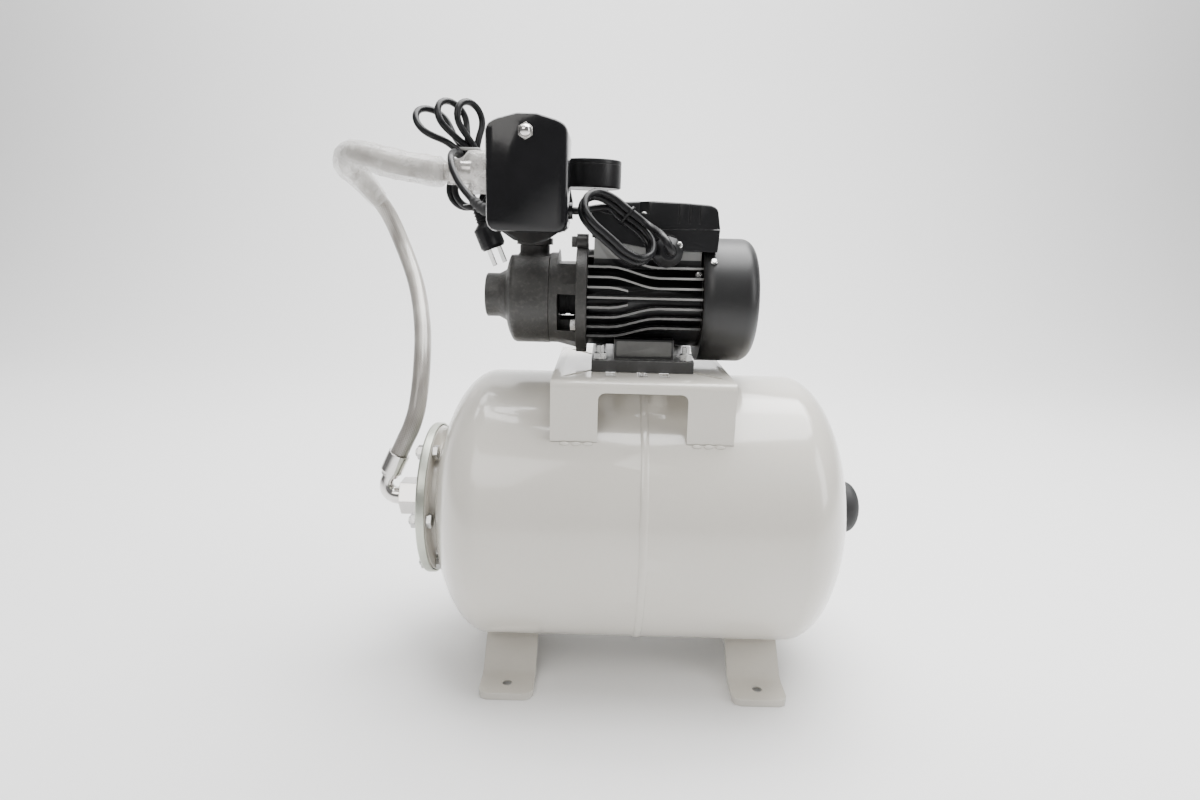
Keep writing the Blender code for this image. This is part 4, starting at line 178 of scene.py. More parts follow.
# Clouded colour, uneven gloss, grain, softened edges and a colour along them: real wear on most finishes, a painted
# highlight along the fin edges of the black motor housing. The housing's rib tips also get a painted highlight,
# brighter towards the top
def newFinish(name, look):
    material, tree, shader, coords = newMaterial(name)
    place = add(tree, "ShaderNodeMapping", {"Vector": coords, "Scale": look["stretch"]}).outputs[0]
    clouds = cloudy(tree, place, look["cloudScale"], 4.0, Roughness=0.62)
    specks = cloudy(tree, place, look["speckScale"], 3.0)
    tint = mixed(tree, ranged(tree, clouds, 0.3, 0.7, 0.0, 1.0), shaded(look["colour"], 1 - look["spread"]),
                 shaded(look["colour"], 1 + look["spread"]))
    tint = mixed(tree, ranged(tree, specks, 0.5, 0.75, 0.0, look["speckShare"]), tint, shaded(look["speckColour"], 1))
    rounded = add(tree, "ShaderNodeBevel", {"Radius": look["edge"]}, samples=4).outputs[0]
    flat = add(tree, "ShaderNodeNewGeometry").outputs["Normal"]
    likeness = add(tree, "ShaderNodeVectorMath", {0: rounded, 1: flat}, operation="DOT_PRODUCT").outputs["Value"]
    # Colour along edges: real wear on most finishes, a painted highlight on the black motor housing's fins
    wornAndHighlit = times(tree, ranged(tree, likeness, 0.99, 0.86, 0.0, look["wearAndHighlight"]),
                 ranged(tree, specks, 0.35, 0.6, 0.2, 1.0))
    base = mixed(tree, wornAndHighlit, tint, shaded(look["wearAndHighlightColour"], 1))
    # Painted highlight on the motor housing's rib tips, stronger towards the top where the light falls
    if "ribHighlight" in look:
        ribHighlight = look["ribHighlight"]
        parts = add(tree, "ShaderNodeSeparateXYZ", {0: coords}).outputs
        rise = arithmetic(tree, "SUBTRACT", parts[2], shaftZ)
        ribHighlightMask = ranged(tree, reachOf(tree, parts[1], rise), ribHighlight["from"], ribHighlight["from"] + 0.0005, 0.0, 1.0)
        lit = ranged(tree, rise, ribHighlight["below"], ribHighlight["above"], ribHighlight["low"], ribHighlight["high"])
        base = mixed(tree, times(tree, ribHighlightMask, lit), base, shaded(ribHighlight["colour"], 1))
    gloss = ranged(tree, clouds, 0.25, 0.75, look["rough"] - look["roughSpread"], look["rough"] + look["roughSpread"])
    grain = cloudy(tree, place, look["grainScale"], 5.0)
    normal = bumped(tree, grain, look["grainStrength"], look["grainDepth"], Normal=rounded)
    fill(tree, shader, {"Base Color": base, "Roughness": gloss, "Normal": normal, "Metallic": look["metal"],
                        "Specular IOR Level": look["specular"], "Coat Weight": look["coat"],
                        "Coat Roughness": look["coatRough"]})
    return material


plain = {"stretch": (1, 1, 1), "cloudScale": 9.0, "speckScale": 260.0, "speckShare": 0.0, "speckColour": (1, 1, 1),
         "spread": 0.05, "rough": 0.4, "roughSpread": 0.06, "metal": 0.0, "specular": 0.5, "coat": 0.0,
         "coatRough": 0.1, "edge": 0.0006, "wearAndHighlight": 0.25, "wearAndHighlightColour": (0.5, 0.5, 0.5), "grainScale": 900.0,
         "grainStrength": 0.2, "grainDepth": 0.0004}

looks = {
    "creamPaint": {"colour": (0.66, 0.632, 0.575), "spread": 0.025, "cloudScale": 6.0, "rough": 0.2,
        "roughSpread": 0.05, "coat": 0.6, "coatRough": 0.06, "edge": 0.0012, "wearAndHighlight": 0.18,
        "wearAndHighlightColour": (0.5, 0.46, 0.4), "speckShare": 0.05, "speckColour": (0.42, 0.38, 0.32), "grainScale": 240.0,
        "grainStrength": 0.1, "grainDepth": 0.0003},
    "castIron": {"colour": (0.046, 0.045, 0.043), "spread": 0.18, "cloudScale": 30.0, "rough": 0.46,
        "roughSpread": 0.1, "metal": 0.25, "edge": 0.0009, "wearAndHighlight": 0.45, "wearAndHighlightColour": (0.22, 0.21, 0.2),
        "speckShare": 0.25, "speckColour": (0.14, 0.13, 0.12), "grainScale": 520.0, "grainStrength": 0.55,
        "grainDepth": 0.0006},
    # The black housing's light edge colour and its rib tips are painted highlights for the light on its fins
    "motorBlack": {"colour": (0.016, 0.016, 0.017), "spread": 0.2, "cloudScale": 22.0, "rough": 0.34,
        "roughSpread": 0.08, "coat": 0.1, "coatRough": 0.22, "edge": 0.0008, "specular": 0.4, "wearAndHighlight": 0.9,
        "wearAndHighlightColour": (0.4, 0.4, 0.39),
        "ribHighlight": {"from": 0.0547, "below": -0.03, "above": 0.012, "low": 0.1, "high": 0.75,
                 "colour": (0.36, 0.36, 0.35)}, "speckShare": 0.1, "speckColour": (0.05, 0.05, 0.05),
        "grainScale": 620.0, "grainStrength": 0.35},
    "satinCover": {"colour": (0.013, 0.013, 0.0135), "spread": 0.1, "cloudScale": 14.0, "roughSpread": 0.05,
        "edge": 0.0005, "wearAndHighlight": 0.2, "wearAndHighlightColour": (0.06, 0.06, 0.06), "grainScale": 1400.0, "grainStrength": 0.22,
        "grainDepth": 0.0002},
    "boxPlastic": {"colour": (0.012, 0.012, 0.013), "spread": 0.14, "cloudScale": 20.0, "rough": 0.33,
        "specular": 0.28, "edge": 0.0007, "wearAndHighlight": 0.45, "wearAndHighlightColour": (0.07, 0.07, 0.07), "grainScale": 1500.0,
        "grainStrength": 0.3, "grainDepth": 0.0002},
    "switchPlastic": {"colour": (0.008, 0.008, 0.009), "spread": 0.18, "cloudScale": 26.0, "rough": 0.17,
        "specular": 0.3, "coat": 0.25, "coatRough": 0.08, "edge": 0.001, "wearAndHighlight": 0.15,
        "wearAndHighlightColour": (0.06, 0.06, 0.06), "grainScale": 160.0, "grainStrength": 0.18, "grainDepth": 0.0006},
    "leadVinyl": {"colour": (0.011, 0.011, 0.012), "spread": 0.15, "cloudScale": 60.0, "rough": 0.3,
        "roughSpread": 0.07, "specular": 0.25, "edge": 0.0003, "wearAndHighlight": 0.0, "grainScale": 1800.0,
        "grainStrength": 0.15, "grainDepth": 0.0002},
    "zincPlate": {"colour": (0.5, 0.52, 0.46), "spread": 0.12, "cloudScale": 38.0, "rough": 0.36, "roughSpread": 0.1,
        "metal": 0.92, "edge": 0.0008, "wearAndHighlight": 0.3, "wearAndHighlightColour": (0.72, 0.72, 0.68), "speckShare": 0.2,
        "speckColour": (0.62, 0.62, 0.5), "grainScale": 420.0, "grainDepth": 0.0003},
    "chrome": {"colour": (0.72, 0.7, 0.68), "spread": 0.06, "cloudScale": 60.0, "rough": 0.13, "roughSpread": 0.05,
        "metal": 1.0, "edge": 0.0007, "wearAndHighlight": 0.2, "wearAndHighlightColour": (0.45, 0.4, 0.33), "grainScale": 700.0,
        "grainStrength": 0.1, "grainDepth": 0.0002},
    "boltSteel": {"colour": (0.58, 0.58, 0.57), "spread": 0.12, "cloudScale": 90.0, "rough": 0.27,
        "roughSpread": 0.08, "metal": 1.0, "edge": 0.0004, "wearAndHighlight": 0.3, "wearAndHighlightColour": (0.3, 0.28, 0.25),
        "grainDepth": 0.0002},
    "brass": {"colour": (0.62, 0.47, 0.2), "spread": 0.1, "cloudScale": 70.0, "rough": 0.3, "roughSpread": 0.08,
        "metal": 1.0, "wearAndHighlight": 0.3, "wearAndHighlightColour": (0.34, 0.25, 0.12), "grainScale": 800.0},
    "copper": {"colour": (0.58, 0.25, 0.11), "spread": 0.16, "cloudScale": 60.0, "stretch": (0.15, 1, 1),
        "rough": 0.38, "metal": 0.9, "grainScale": 500.0, "grainStrength": 0.6},
    "rubber": {"colour": (0.02, 0.02, 0.021), "spread": 0.15, "cloudScale": 40.0, "rough": 0.62, "roughSpread": 0.1,
        "wearAndHighlight": 0.2, "wearAndHighlightColour": (0.08, 0.08, 0.08), "grainStrength": 0.35},
    "canWhite": {"colour": (0.7, 0.7, 0.68), "rough": 0.45, "cloudScale": 30.0},
    "plateGrey": {"colour": (0.15, 0.15, 0.145), "spread": 0.12, "cloudScale": 50.0, "roughSpread": 0.08,
        "metal": 0.35, "wearAndHighlight": 0.5, "wearAndHighlightColour": (0.4, 0.4, 0.39), "grainScale": 700.0, "grainStrength": 0.4},
    "tieGrey": {"colour": (0.36, 0.36, 0.35), "rough": 0.42, "cloudScale": 60.0, "grainScale": 1500.0},
}
finishes = {name: newFinish(name, {**plain, **look}) for name, look in looks.items()}
print("finishes ready:", len(finishes))


# Mesh helpers
turns = {"X": Matrix.Identity(4), "Z": Matrix.Rotation(radians(-90), 4, "Y")}


def roundEdges(bm, edges, offset, segments, clamp=False):
    bmesh.ops.bevel(bm, geom=edges, offset=offset, offset_type="OFFSET", segments=segments, profile=0.5,
                    affect="EDGES", material=-1, clamp_overlap=clamp)


def only(kind, parts):
    return [part for part in parts if isinstance(part, kind)]


def thicken(piece, thickness, offset):
    skin = piece.modifiers.new("thickness", "SOLIDIFY")
    skin.thickness = thickness
    skin.offset = offset


fine = 0.0006  # chamfer on turned edges


# A turned shape from points (along, radius), with its poles and seam closed
def spun(profile, steps=96, axis="X", centre=Vector(), closed=False):
    bm = bmesh.new()
    ring = [bm.verts.new((along, 0.0, radius)) for along, radius in profile]
    for first, second in zip(ring, ring[1:] + (ring[:1] if closed else [])):
        bm.edges.new((first, second))
    bmesh.ops.spin(bm, geom=bm.verts[:] + bm.edges[:], cent=(0, 0, 0), axis=(1, 0, 0), dvec=(0, 0, 0),
                   angle=2 * pi, steps=steps, use_merge=True, use_duplicate=False)
    bmesh.ops.remove_doubles(bm, verts=bm.verts, dist=1e-6)
    bmesh.ops.recalc_face_normals(bm, faces=bm.faces)
    bm.transform(Matrix.Translation(centre) @ turns[axis])
    return bm


# Let a piece ride on a body, in place of the nodes that it stands for
def mount(piece, stands, body="set"):
    bpy.context.scene.collection.objects.link(piece)
    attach(piece, body)
    if stands:
        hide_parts(*stands)
    return piece


# A bmesh as a smooth piece with its finish, sharp only where it turns more than some degrees
def place(name, bm, finish, sharp=32, stands=(), body="set"):
    bmesh.ops.remove_doubles(bm, verts=bm.verts, dist=1e-6)
    bmesh.ops.recalc_face_normals(bm, faces=bm.faces)
    mesh = bpy.data.meshes.new(name)
    bm.to_mesh(mesh)
    bm.free()
    mesh.shade_smooth()
    mesh.set_sharp_from_angle(angle=radians(sharp))
    mesh.materials.append(finishes[finish])
    return mount(bpy.data.objects.new(name, mesh), stands, body)


# For the copies of CAD nodes; the arch is the switch cover's top, faceted in the drawing
dress = {"weld": 2e-6, "flat": radians(0.6), "archFrom": radians(8), "archTo": radians(40), "archEdge": 0.007,
         "sharp": radians(38)}


# A welded, smooth copy of a CAD node, with small bevels along its edges
def dressed(node, finish, width=0.0):
    source = frame["nodes"][node]
    bm = bmesh.new()
    bm.from_mesh(source.data)
    bmesh.ops.remove_doubles(bm, verts=bm.verts, dist=dress["weld"])
    bmesh.ops.dissolve_limit(bm, angle_limit=dress["flat"], verts=bm.verts, edges=bm.edges)
    if node == "switch_cover":
        arch = [e for e in bm.edges if abs(e.verts[0].co.y - e.verts[1].co.y) > 0.98 * e.calc_length()
                and len(e.link_faces) == 2 and dress["archFrom"] < e.calc_face_angle() < dress["archTo"]]
        roundEdges(bm, arch, dress["archEdge"], 5, clamp=True)
    piece = place("skin_" + node, bm, finish, stands=(node,), body=source["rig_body"])
    if width:
        bevel = piece.modifiers.new("edges", "BEVEL")
        bevel.width = width
        bevel.segments = 2
        bevel.limit_method = "ANGLE"
        bevel.angle_limit = dress["sharp"]
        bevel.use_clamp_overlap = True
    return piece


# Points on an ellipse, as (along, radius), between two angles in degrees
def ovalArc(centre, size, start, end, steps):
    return [(centre[0] + size[0] * cos(radians(start + (end - start) * k / steps)),
             centre[1] + size[1] * sin(radians(start + (end - start) * k / steps))) for k in range(steps + 1)]


# Cords first: the hose, then the two leads
hose = {"radius": 0.0090, "start": (-0.1860, 0.0, 0.4885), "startWay": (-1, 0, 0),
        "route": ((-0.2231, -0.0010, 0.4915), (-0.2418, 0.0000, 0.4948), (-0.2630, 0.0070, 0.5000),
                  (-0.2892, 0.0310, 0.5050), (-0.3070, 0.0681, 0.4985), (-0.3047, 0.1024, 0.4860),
                  (-0.2868, 0.1315, 0.4542), (-0.2695, 0.1341, 0.4135), (-0.2490, 0.1074, 0.3719),
                  (-0.2327, 0.0627, 0.3324), (-0.2258, 0.0278, 0.2943), (-0.2265, 0.0090, 0.2580),
                  (-0.2315, 0.0020, 0.2365)),
        "end": (-0.2447, 0.0, 0.2078), "endWay": (0.4226, 0, 0.9063), "sides": 32, "stub": 1.8,
        "spacing": 0.0045}
braid = {"strands": 18, "pitch": 0.052, "darkSteel": (0.30, 0.28, 0.255, 1), "paleSteel": (0.56, 0.54, 0.505, 1),
         "gap": (0.055, 0.05, 0.047, 1), "streak": (0.16, 0.145, 0.13, 1), "milk": (0.62, 0.59, 0.55, 1),
         "milkShare": 0.12}


# A smooth line through the points, with a point about every spacing
def smoothLine(points, spacing):
    line = []
    ends = [points[0] * 2 - points[1]] + list(points) + [points[-1] * 2 - points[-2]]
    for k in range(1, len(ends) - 2):
        a, b, c, d = ends[k - 1:k + 3]
        steps = max(1, round((c - b).length / spacing))
        for s in range(steps):
            t = s / steps
            line.append(0.5 * ((2 * b) + (c - a) * t + (2 * a - 5 * b + 4 * c - d) * t * t
                               + (3 * b - a - 3 * c + d) * t ** 3))
    return line + [points[-1]]


# At each point of a line, its direction and a side that turns as little as it can
def frames(line):
    ways = [(line[min(k + 1, len(line) - 1)] - line[max(k - 1, 0)]).normalized() for k in range(len(line))]
    side = ways[0].orthogonal().normalized()
    out = []
    for way in ways:
        side = (side - way * side.dot(way)).normalized()
        out.append((way, side))
    return out


# A tube along a line by extruding one ring; reel keeps each point's length and turn
def sleeve(line, radiusAt, sides):
    bm = bmesh.new()
    reel = bm.verts.layers.float_vector.new("reel")
    ring = bmesh.ops.create_circle(bm, segments=sides, radius=1.0, cap_ends=False)["verts"]
    edges = bm.edges[:]
    angles = [atan2(v.co.y, v.co.x) for v in ring]
    run = 0.0
    for k, (point, (way, side)) in enumerate(zip(line, frames(line))):
        if k:
            run += (point - line[k - 1]).length
            made = bmesh.ops.extrude_edge_only(bm, edges=edges)["geom"]
            edges = [e for e in only(bmesh.types.BMEdge, made) if all(v in made for v in e.verts)]
            ring = [next(e.other_vert(before) for e in before.link_edges if e.other_vert(before) in made)
                    for before in ring]
        across = way.cross(side)
        for vert, angle in zip(ring, angles):
            vert.co = point + (side * cos(angle) + across * sin(angle)) * radiusAt(run, angle)
            vert[reel] = (run, cos(angle), sin(angle))
    return bm


def capEnds(bm):
    holes = [e for e in bm.edges if len(e.link_faces) == 1]
    bmesh.ops.holes_fill(bm, edges=holes, sides=0)


# Woven steel strands under a clear skin, laid out along the hose and round it
def braidFinish(name, look):
    material, tree, shader, coords = newMaterial(name)
    reel = add(tree, "ShaderNodeAttribute", attribute_name="reel").outputs["Vector"]
    parts = add(tree, "ShaderNodeSeparateXYZ", {0: reel}).outputs
    around = times(tree, arithmetic(tree, "ARCTAN2", parts[2], parts[1]), look["strands"] / (2 * pi))
    along = times(tree, parts[0], look["strands"] / look["pitch"])
    waves = [arithmetic(tree, "SINE", times(tree, arithmetic(tree, operation, around, along), pi))
             for operation in ("ADD", "SUBTRACT")]
    woven = ranged(tree, times(tree, *waves), -0.25, 0.25, 0.0, 1.0)
    heights = [arithmetic(tree, "POWER", arithmetic(tree, "ABSOLUTE", wave), 0.45) for wave in waves]
    height = add(tree, "ShaderNodeMix", {0: woven, 2: heights[0], 3: heights[1]}).outputs[0]
    clouds = cloudy(tree, coords, 34.0, 4.0)
    steel = mixed(tree, ranged(tree, clouds, 0.3, 0.7, 0.0, 1.0), look["darkSteel"], look["paleSteel"])
    gaps = mixed(tree, ranged(tree, height, 0.3, 0.8, 0.0, 1.0), look["gap"], steel)
    drawn = add(tree, "ShaderNodeMapping", {"Vector": reel, "Scale": (7.0, 1.6, 1.6)}).outputs[0]
    streaks = ranged(tree, cloudy(tree, drawn, 1.0, 3.0, Roughness=0.6), 0.42, 0.62, 0.0, 0.55)
    dull = mixed(tree, streaks, gaps, look["streak"])
    fill(tree, shader, {"Base Color": mixed(tree, look["milkShare"], dull, look["milk"]),
                        "Roughness": ranged(tree, clouds, 0.3, 0.7, 0.30, 0.46), "Metallic": 0.35,
                        "Normal": bumped(tree, height, 0.5, 0.0006), "Coat Weight": 0.8, "Coat Roughness": 0.12})
    return material


finishes["steelBraid"] = braidFinish("steelBraid", braid)


def listed(points):
    return [at(*point) for point in points]


# A cord's points: straight for a stub at both of its ends, and by its route between them
def cordPoints(setup, route):
    stub = setup["stub"] * setup["radius"]
    start, end = at(*setup["start"]), at(*setup["end"])
    return [start, start + Vector(setup["startWay"]) * stub] + route + [end + Vector(setup["endWay"]) * stub, end]


hosePoints = cordPoints(hose, listed(hose["route"]))
hoseLine = smoothLine(hosePoints, hose["spacing"])
bm = sleeve(hoseLine, lambda run, angle: hose["radius"], hose["sides"])
capEnds(bm)
hosePiece = place("braided_hose", bm, "steelBraid", 60, ("hose",))


# Loose clear film left on the hose's upper run
film = {"from": 0.002, "to": 0.232, "radius": 0.0138, "snug": 0.0006, "crease": 0.0011, "sides": 40,
        "thickness": 0.00015, "dull": (0.50, 0.48, 0.45, 1), "bright": (0.86, 0.85, 0.83, 1)}


def filmFinish(name, look):
    material, tree, shader, coords = newMaterial(name)
    creases = cloudy(tree, coords, 70.0, 5.0, Distortion=0.8)
    fill(tree, shader, {"Alpha": ranged(tree, creases, 0.35, 0.7, 0.16, 0.44),
                        "Base Color": mixed(tree, creases, look["dull"], look["bright"]),
                        "Roughness": ranged(tree, creases, 0.3, 0.7, 0.16, 0.34),
                        "Normal": bumped(tree, creases, 0.7, 0.0012)})
    return material


# The part of a line between two lengths
def stretchOf(line, start, end):
    run, out = 0.0, []
    for a, b in zip(line, line[1:]):
        if start <= run <= end:
            out.append(a)
        run += (b - a).length
    return out


def filmRadius(run, angle):
    span = film["to"] - film["from"]
    closing = min(1.0, run / 0.004, (span - run) / 0.05)
    snug = hose["radius"] + film["snug"]
    wave = noise.noise(Vector((run * 55, cos(angle) * 1.7, sin(angle) * 1.7)))
    fold = noise.noise(Vector((run * 160, cos(angle) * 3.1 + 7, sin(angle) * 3.1)))
    loose = film["radius"] + film["crease"] * (1.3 * wave + 0.7 * fold)
    return snug + (loose - snug) * max(0.0, closing) ** 0.7


finishes["clearFilm"] = filmFinish("clearFilm", film)
bm = sleeve(stretchOf(hoseLine, film["from"], film["to"]), filmRadius, film["sides"])
filmPiece = place("hose_film", bm, "clearFilm", 60)
thicken(filmPiece, film["thickness"], -1)

# The same film, crumpled round the union nut
wrap = {"from": (-0.1882, 0.0, 0.4885), "to": (-0.1398, 0.0, 0.4885), "lip": 0.0122, "nut": 0.0203, "neck": 0.0118,
        "flare": 0.0110, "crease": 0.0008, "steps": 24, "sides": 48}


def wrapRadius(run, angle):
    share = min(1.0, max(0.0, (run - wrap["neck"]) / wrap["flare"]))
    share = share * share * (3 - 2 * share)
    wave = noise.noise(Vector((run * 110, cos(angle) * 2.3 + 3, sin(angle) * 2.3)))
    fold = noise.noise(Vector((run * 300, cos(angle) * 5.0, sin(angle) * 5.0 + 9)))
    crease = wrap["crease"] * (0.25 + 0.75 * share)
    return wrap["lip"] + (wrap["nut"] - wrap["lip"]) * share + crease * (1.4 * wave + 0.8 * fold)


wrapLine = [at(*wrap["from"]).lerp(at(*wrap["to"]), k / wrap["steps"]) for k in range(wrap["steps"] + 1)]
wrapPiece = place("nut_film", sleeve(wrapLine, wrapRadius, wrap["sides"]), "clearFilm", 60)
thicken(wrapPiece, film["thickness"], 0)

# Mains lead: out of the switch, over the hose, through a tied hank of three folds, down to the plug
mains = {"radius": 0.00325, "stub": 2.0, "start": (-0.1388, -0.0632, 0.4535), "startWay": (-1, 0, 0),
         "approach": ((-0.1560, -0.0580, 0.4620), (-0.1670, -0.0510, 0.4740), (-0.1755, -0.0410, 0.4880),
                      (-0.1795, -0.0270, 0.5000), (-0.1797, -0.0100, 0.5052), (-0.1798, 0.0060, 0.5045),
                      (-0.1800, 0.0170, 0.5075)),
         "tie": (-0.1730, 0.0275, 0.5115), "spread": 0.0070, "depth": 0.0034, "turn": 52.0,
         "upper": ((-49.0, 0.0540, 0.0172), (-28.0, 0.0500, 0.0165), (-11.0, 0.0450, 0.0158)),
         "lower": (0.0550, 0.0172),
         "tail": ((-0.1660, 0.0318, 0.5030), (-0.1668, 0.0335, 0.4930), (-0.1690, 0.0318, 0.4830),
                  (-0.1708, 0.0250, 0.4755), (-0.1712, 0.0165, 0.4710), (-0.1685, 0.0085, 0.4675)),
         "end": (-0.1610, 0.0020, 0.4570), "endWay": (-0.3746, 0, 0.9272)}


# One fold of a hank, between two points at the tie: out along aim, round an arc and back
def foldPoints(first, last, aim, wide, height, radius):
    middle, half = (first + last) / 2, (last - first).length / 2
    hub = height - radius
    low, out = hub + radius * cos(radians(120)), radius * sin(radians(120))
    shoulder = half + 0.31 * (out - half)
    points = [(0.5 * low, -shoulder)]
    points += [(hub + radius * cos(radians(angle)), radius * sin(radians(angle))) for angle in range(-120, 121, 30)]
    points += [(0.5 * low, shoulder)]
    return [middle + aim * h + wide * r for h, r in points]


leadSpacing = 0.0035


# A lead as one smooth open curve through its points, given back with its line
def makeLead(name, points, radius, stands):
    curve = bpy.data.curves.new(name, "CURVE")
    curve.dimensions = "3D"
    curve.bevel_depth = radius
    curve.bevel_resolution = 4
    curve.use_fill_caps = True
    line = smoothLine(points, leadSpacing)
    spline = curve.splines.new("POLY")
    spline.points.add(len(line) - 1)
    for point, co in zip(spline.points, line):
        point.co = (*co, 1.0)
    spline.use_smooth = True
    curve.materials.append(finishes["leadVinyl"])
    return mount(bpy.data.objects.new(name, curve), stands), line


tie = at(*mains["tie"])
passes = [tie + Vector(((k // 2 - 1) * mains["spread"], mains["depth"] * (1 if k in (1, 2, 5) else -1), 0))
          for k in range(6)]
route = listed(mains["approach"])
for k, (lean, height, radius) in enumerate(mains["upper"]):
    first, last = passes[2 * k], passes[2 * k + 1]
    if k:
        before = passes[2 * k - 1]
        route += foldPoints(before, first, Vector((0, 0, -1)), (first - before).normalized(), *mains["lower"])
        route.append(first)
    aim = Vector((sin(radians(lean)), 0, cos(radians(lean))))
    across = Vector((cos(radians(lean)), 0, -sin(radians(lean))))
    wide = across * cos(radians(mains["turn"])) + yWay * sin(radians(mains["turn"]))
    route += foldPoints(first, last, aim, wide * (-1 if k == 1 else 1), height, radius) + [last]
route += listed(mains["tail"])
mainsPoints = cordPoints(mains, route)
mainsLead, mainsLine = makeLead("mains_flex", mainsPoints, mains["radius"], ("mains_lead", "mains_lead_hank"))

# Tapered rubber relief where the mains lead leaves the switch
relief = {"from": 0.0004, "length": 0.021, "wide": 0.0058, "slim": 0.0037, "rings": 5, "ring": 0.0004,
          "spacing": 0.0009, "sides": 28}


def reliefRadius(run, angle):
    share = min(1.0, run / relief["length"])
    ring = relief["ring"] * cos(2 * pi * relief["rings"] * share)
    return relief["wide"] + (relief["slim"] - relief["wide"]) * share + ring


reliefLine = stretchOf(smoothLine(mainsPoints, relief["spacing"]), relief["from"], relief["length"])
bm = sleeve(reliefLine, reliefRadius, relief["sides"])
capEnds(bm)
reliefPiece = place("mains_relief", bm, "rubber", 60)


bandThickness = 0.0009


# A flat band round a bundle of leads
def tieBand(name, centre, first, second, halves, breadth, finish):
    bm = bmesh.new()
    ring = bmesh.ops.create_circle(bm, segments=56, radius=1.0, cap_ends=False)["verts"]
    way = first.cross(second)
    for vert in ring:
        angle = atan2(vert.co.y, vert.co.x)
        reach = (cos(angle) ** 4 + sin(angle) ** 4) ** -0.25
        vert.co = (centre + first * (halves[0] * cos(angle) * reach) + second * (halves[1] * sin(angle) * reach)
                   - way * (breadth / 2))
    made = bmesh.ops.extrude_edge_only(bm, edges=bm.edges[:])["geom"]
    bmesh.ops.translate(bm, verts=only(bmesh.types.BMVert, made), vec=way * breadth)
    band = place(name, bm, finish, 60)
    thicken(band, bandThickness, 0)
    return band


mainsTie = tieBand("mains_tie", tie, Vector((1, 0, 0)), yWay, (0.0112, 0.0076), 0.0030, "tieGrey")
plugTop, plugTurn = Matrix.Translation(at(*mains["end"])), Matrix.Rotation(radians(-22), 4, "Y")
plugWay = Vector(mains["endWay"])
plugSide = Vector((plugWay.z, 0, -plugWay.x))
tail = {"down": 0.0052, "size": (0.0085, 0.0030, 0.0008), "out": 0.0080, "front": 0.0010, "slant": -10,
        "edge": 0.0003}
tieSpot = at(*mains["end"]) + plugWay * tail["down"]
plugTie = tieBand("plug_tie", tieSpot, plugSide, yWay, (0.0041, 0.0041), 0.0032, "tieGrey")
bm = bmesh.new()
bmesh.ops.create_cube(bm, size=1.0, matrix=Matrix.Diagonal((*tail["size"], 1.0)))
roundEdges(bm, bm.edges[:], tail["edge"], 2)
bm.transform(Matrix.Translation(tieSpot - plugSide * tail["out"] - yWay * tail["front"])
             @ Matrix.Rotation(radians(tail["slant"]), 4, "Y"))
tieTail = place("plug_tie_tail", bm, "tieGrey", 40)

# Moulded rings of the plug's own relief
plugRelief = {"top": -0.0004, "end": -0.0156, "slim": 0.0058, "wide": 0.0070, "rings": 5}
profile = [(plugRelief["top"], 0.0)]
for k in range(4 * plugRelief["rings"]):
    share = (k + 0.5) / (4 * plugRelief["rings"])
    profile.append((plugRelief["top"] + (plugRelief["end"] - plugRelief["top"]) * share,
                    (0.86 + 0.14 * share) * plugRelief["slim" if k % 4 in (0, 3) else "wide"]))
bm = spun(profile + [(plugRelief["end"], 0.0)], 40, "Z")
bm.transform(plugTop @ plugTurn)
plugRings = place("plug_relief_rings", bm, "leadVinyl", 50)

# Motor lead: from the switch, two and a half turns of an open hank, then forward and into the gland
motorLead = {"radius": 0.00325, "stub": 2.0, "start": (-0.0657, -0.0632, 0.4535), "startWay": (1, 0, 0),
             "left": (-0.0440, -0.0660, 0.4470), "right": (-0.0152, -0.0680, 0.4245), "bend": 0.0185, "tilt": 45.0,
             "turns": 2, "pitch": 0.0068,
             "leave": ((0.0040, -0.0725, 0.4400), (0.0080, -0.0820, 0.4372), (0.0115, -0.0920, 0.4335),
                       (0.0155, -0.0995, 0.4280), (0.0190, -0.0990, 0.4215), (0.0195, -0.0900, 0.4198)),
             "end": (0.0191, -0.0703, 0.4202), "endWay": (0, -1, 0), "tieOut": 0.0076}


# Turns of an open hank round two centres, each turn a little further forward
def hankPoints(setup):
    left, right = at(*setup["left"]), at(*setup["right"])
    along = (right - left).normalized()
    lift = Vector((-along.z, 0, along.x)).normalized()
    tilt = radians(setup["tilt"])
    wide = lift * cos(tilt) + yWay * sin(tilt)
    forward = lift * sin(tilt) - yWay * cos(tilt)
    points = []
    straight, steps = 0.22, 14  # share of a turn on each straight run, and points in a turn
    for k in range(int((setup["turns"] + straight) * steps) + 1):
        t = k / steps
        turn = t % 1.0
        if turn < straight:
            base, offset = left.lerp(right, turn / straight), wide
        elif turn < 0.5:
            angle = pi * (turn - straight) / (0.5 - straight)
            base, offset = right, wide * cos(angle) + along * sin(angle)
        elif turn < 0.5 + straight:
            base, offset = right.lerp(left, (turn - 0.5) / straight), -wide
        else:
            angle = pi * (turn - 0.5 - straight) / (0.5 - straight)
            base, offset = left, -wide * cos(angle) - along * sin(angle)
        points.append(base + offset * setup["bend"] + forward * setup["pitch"] * t)
    return points


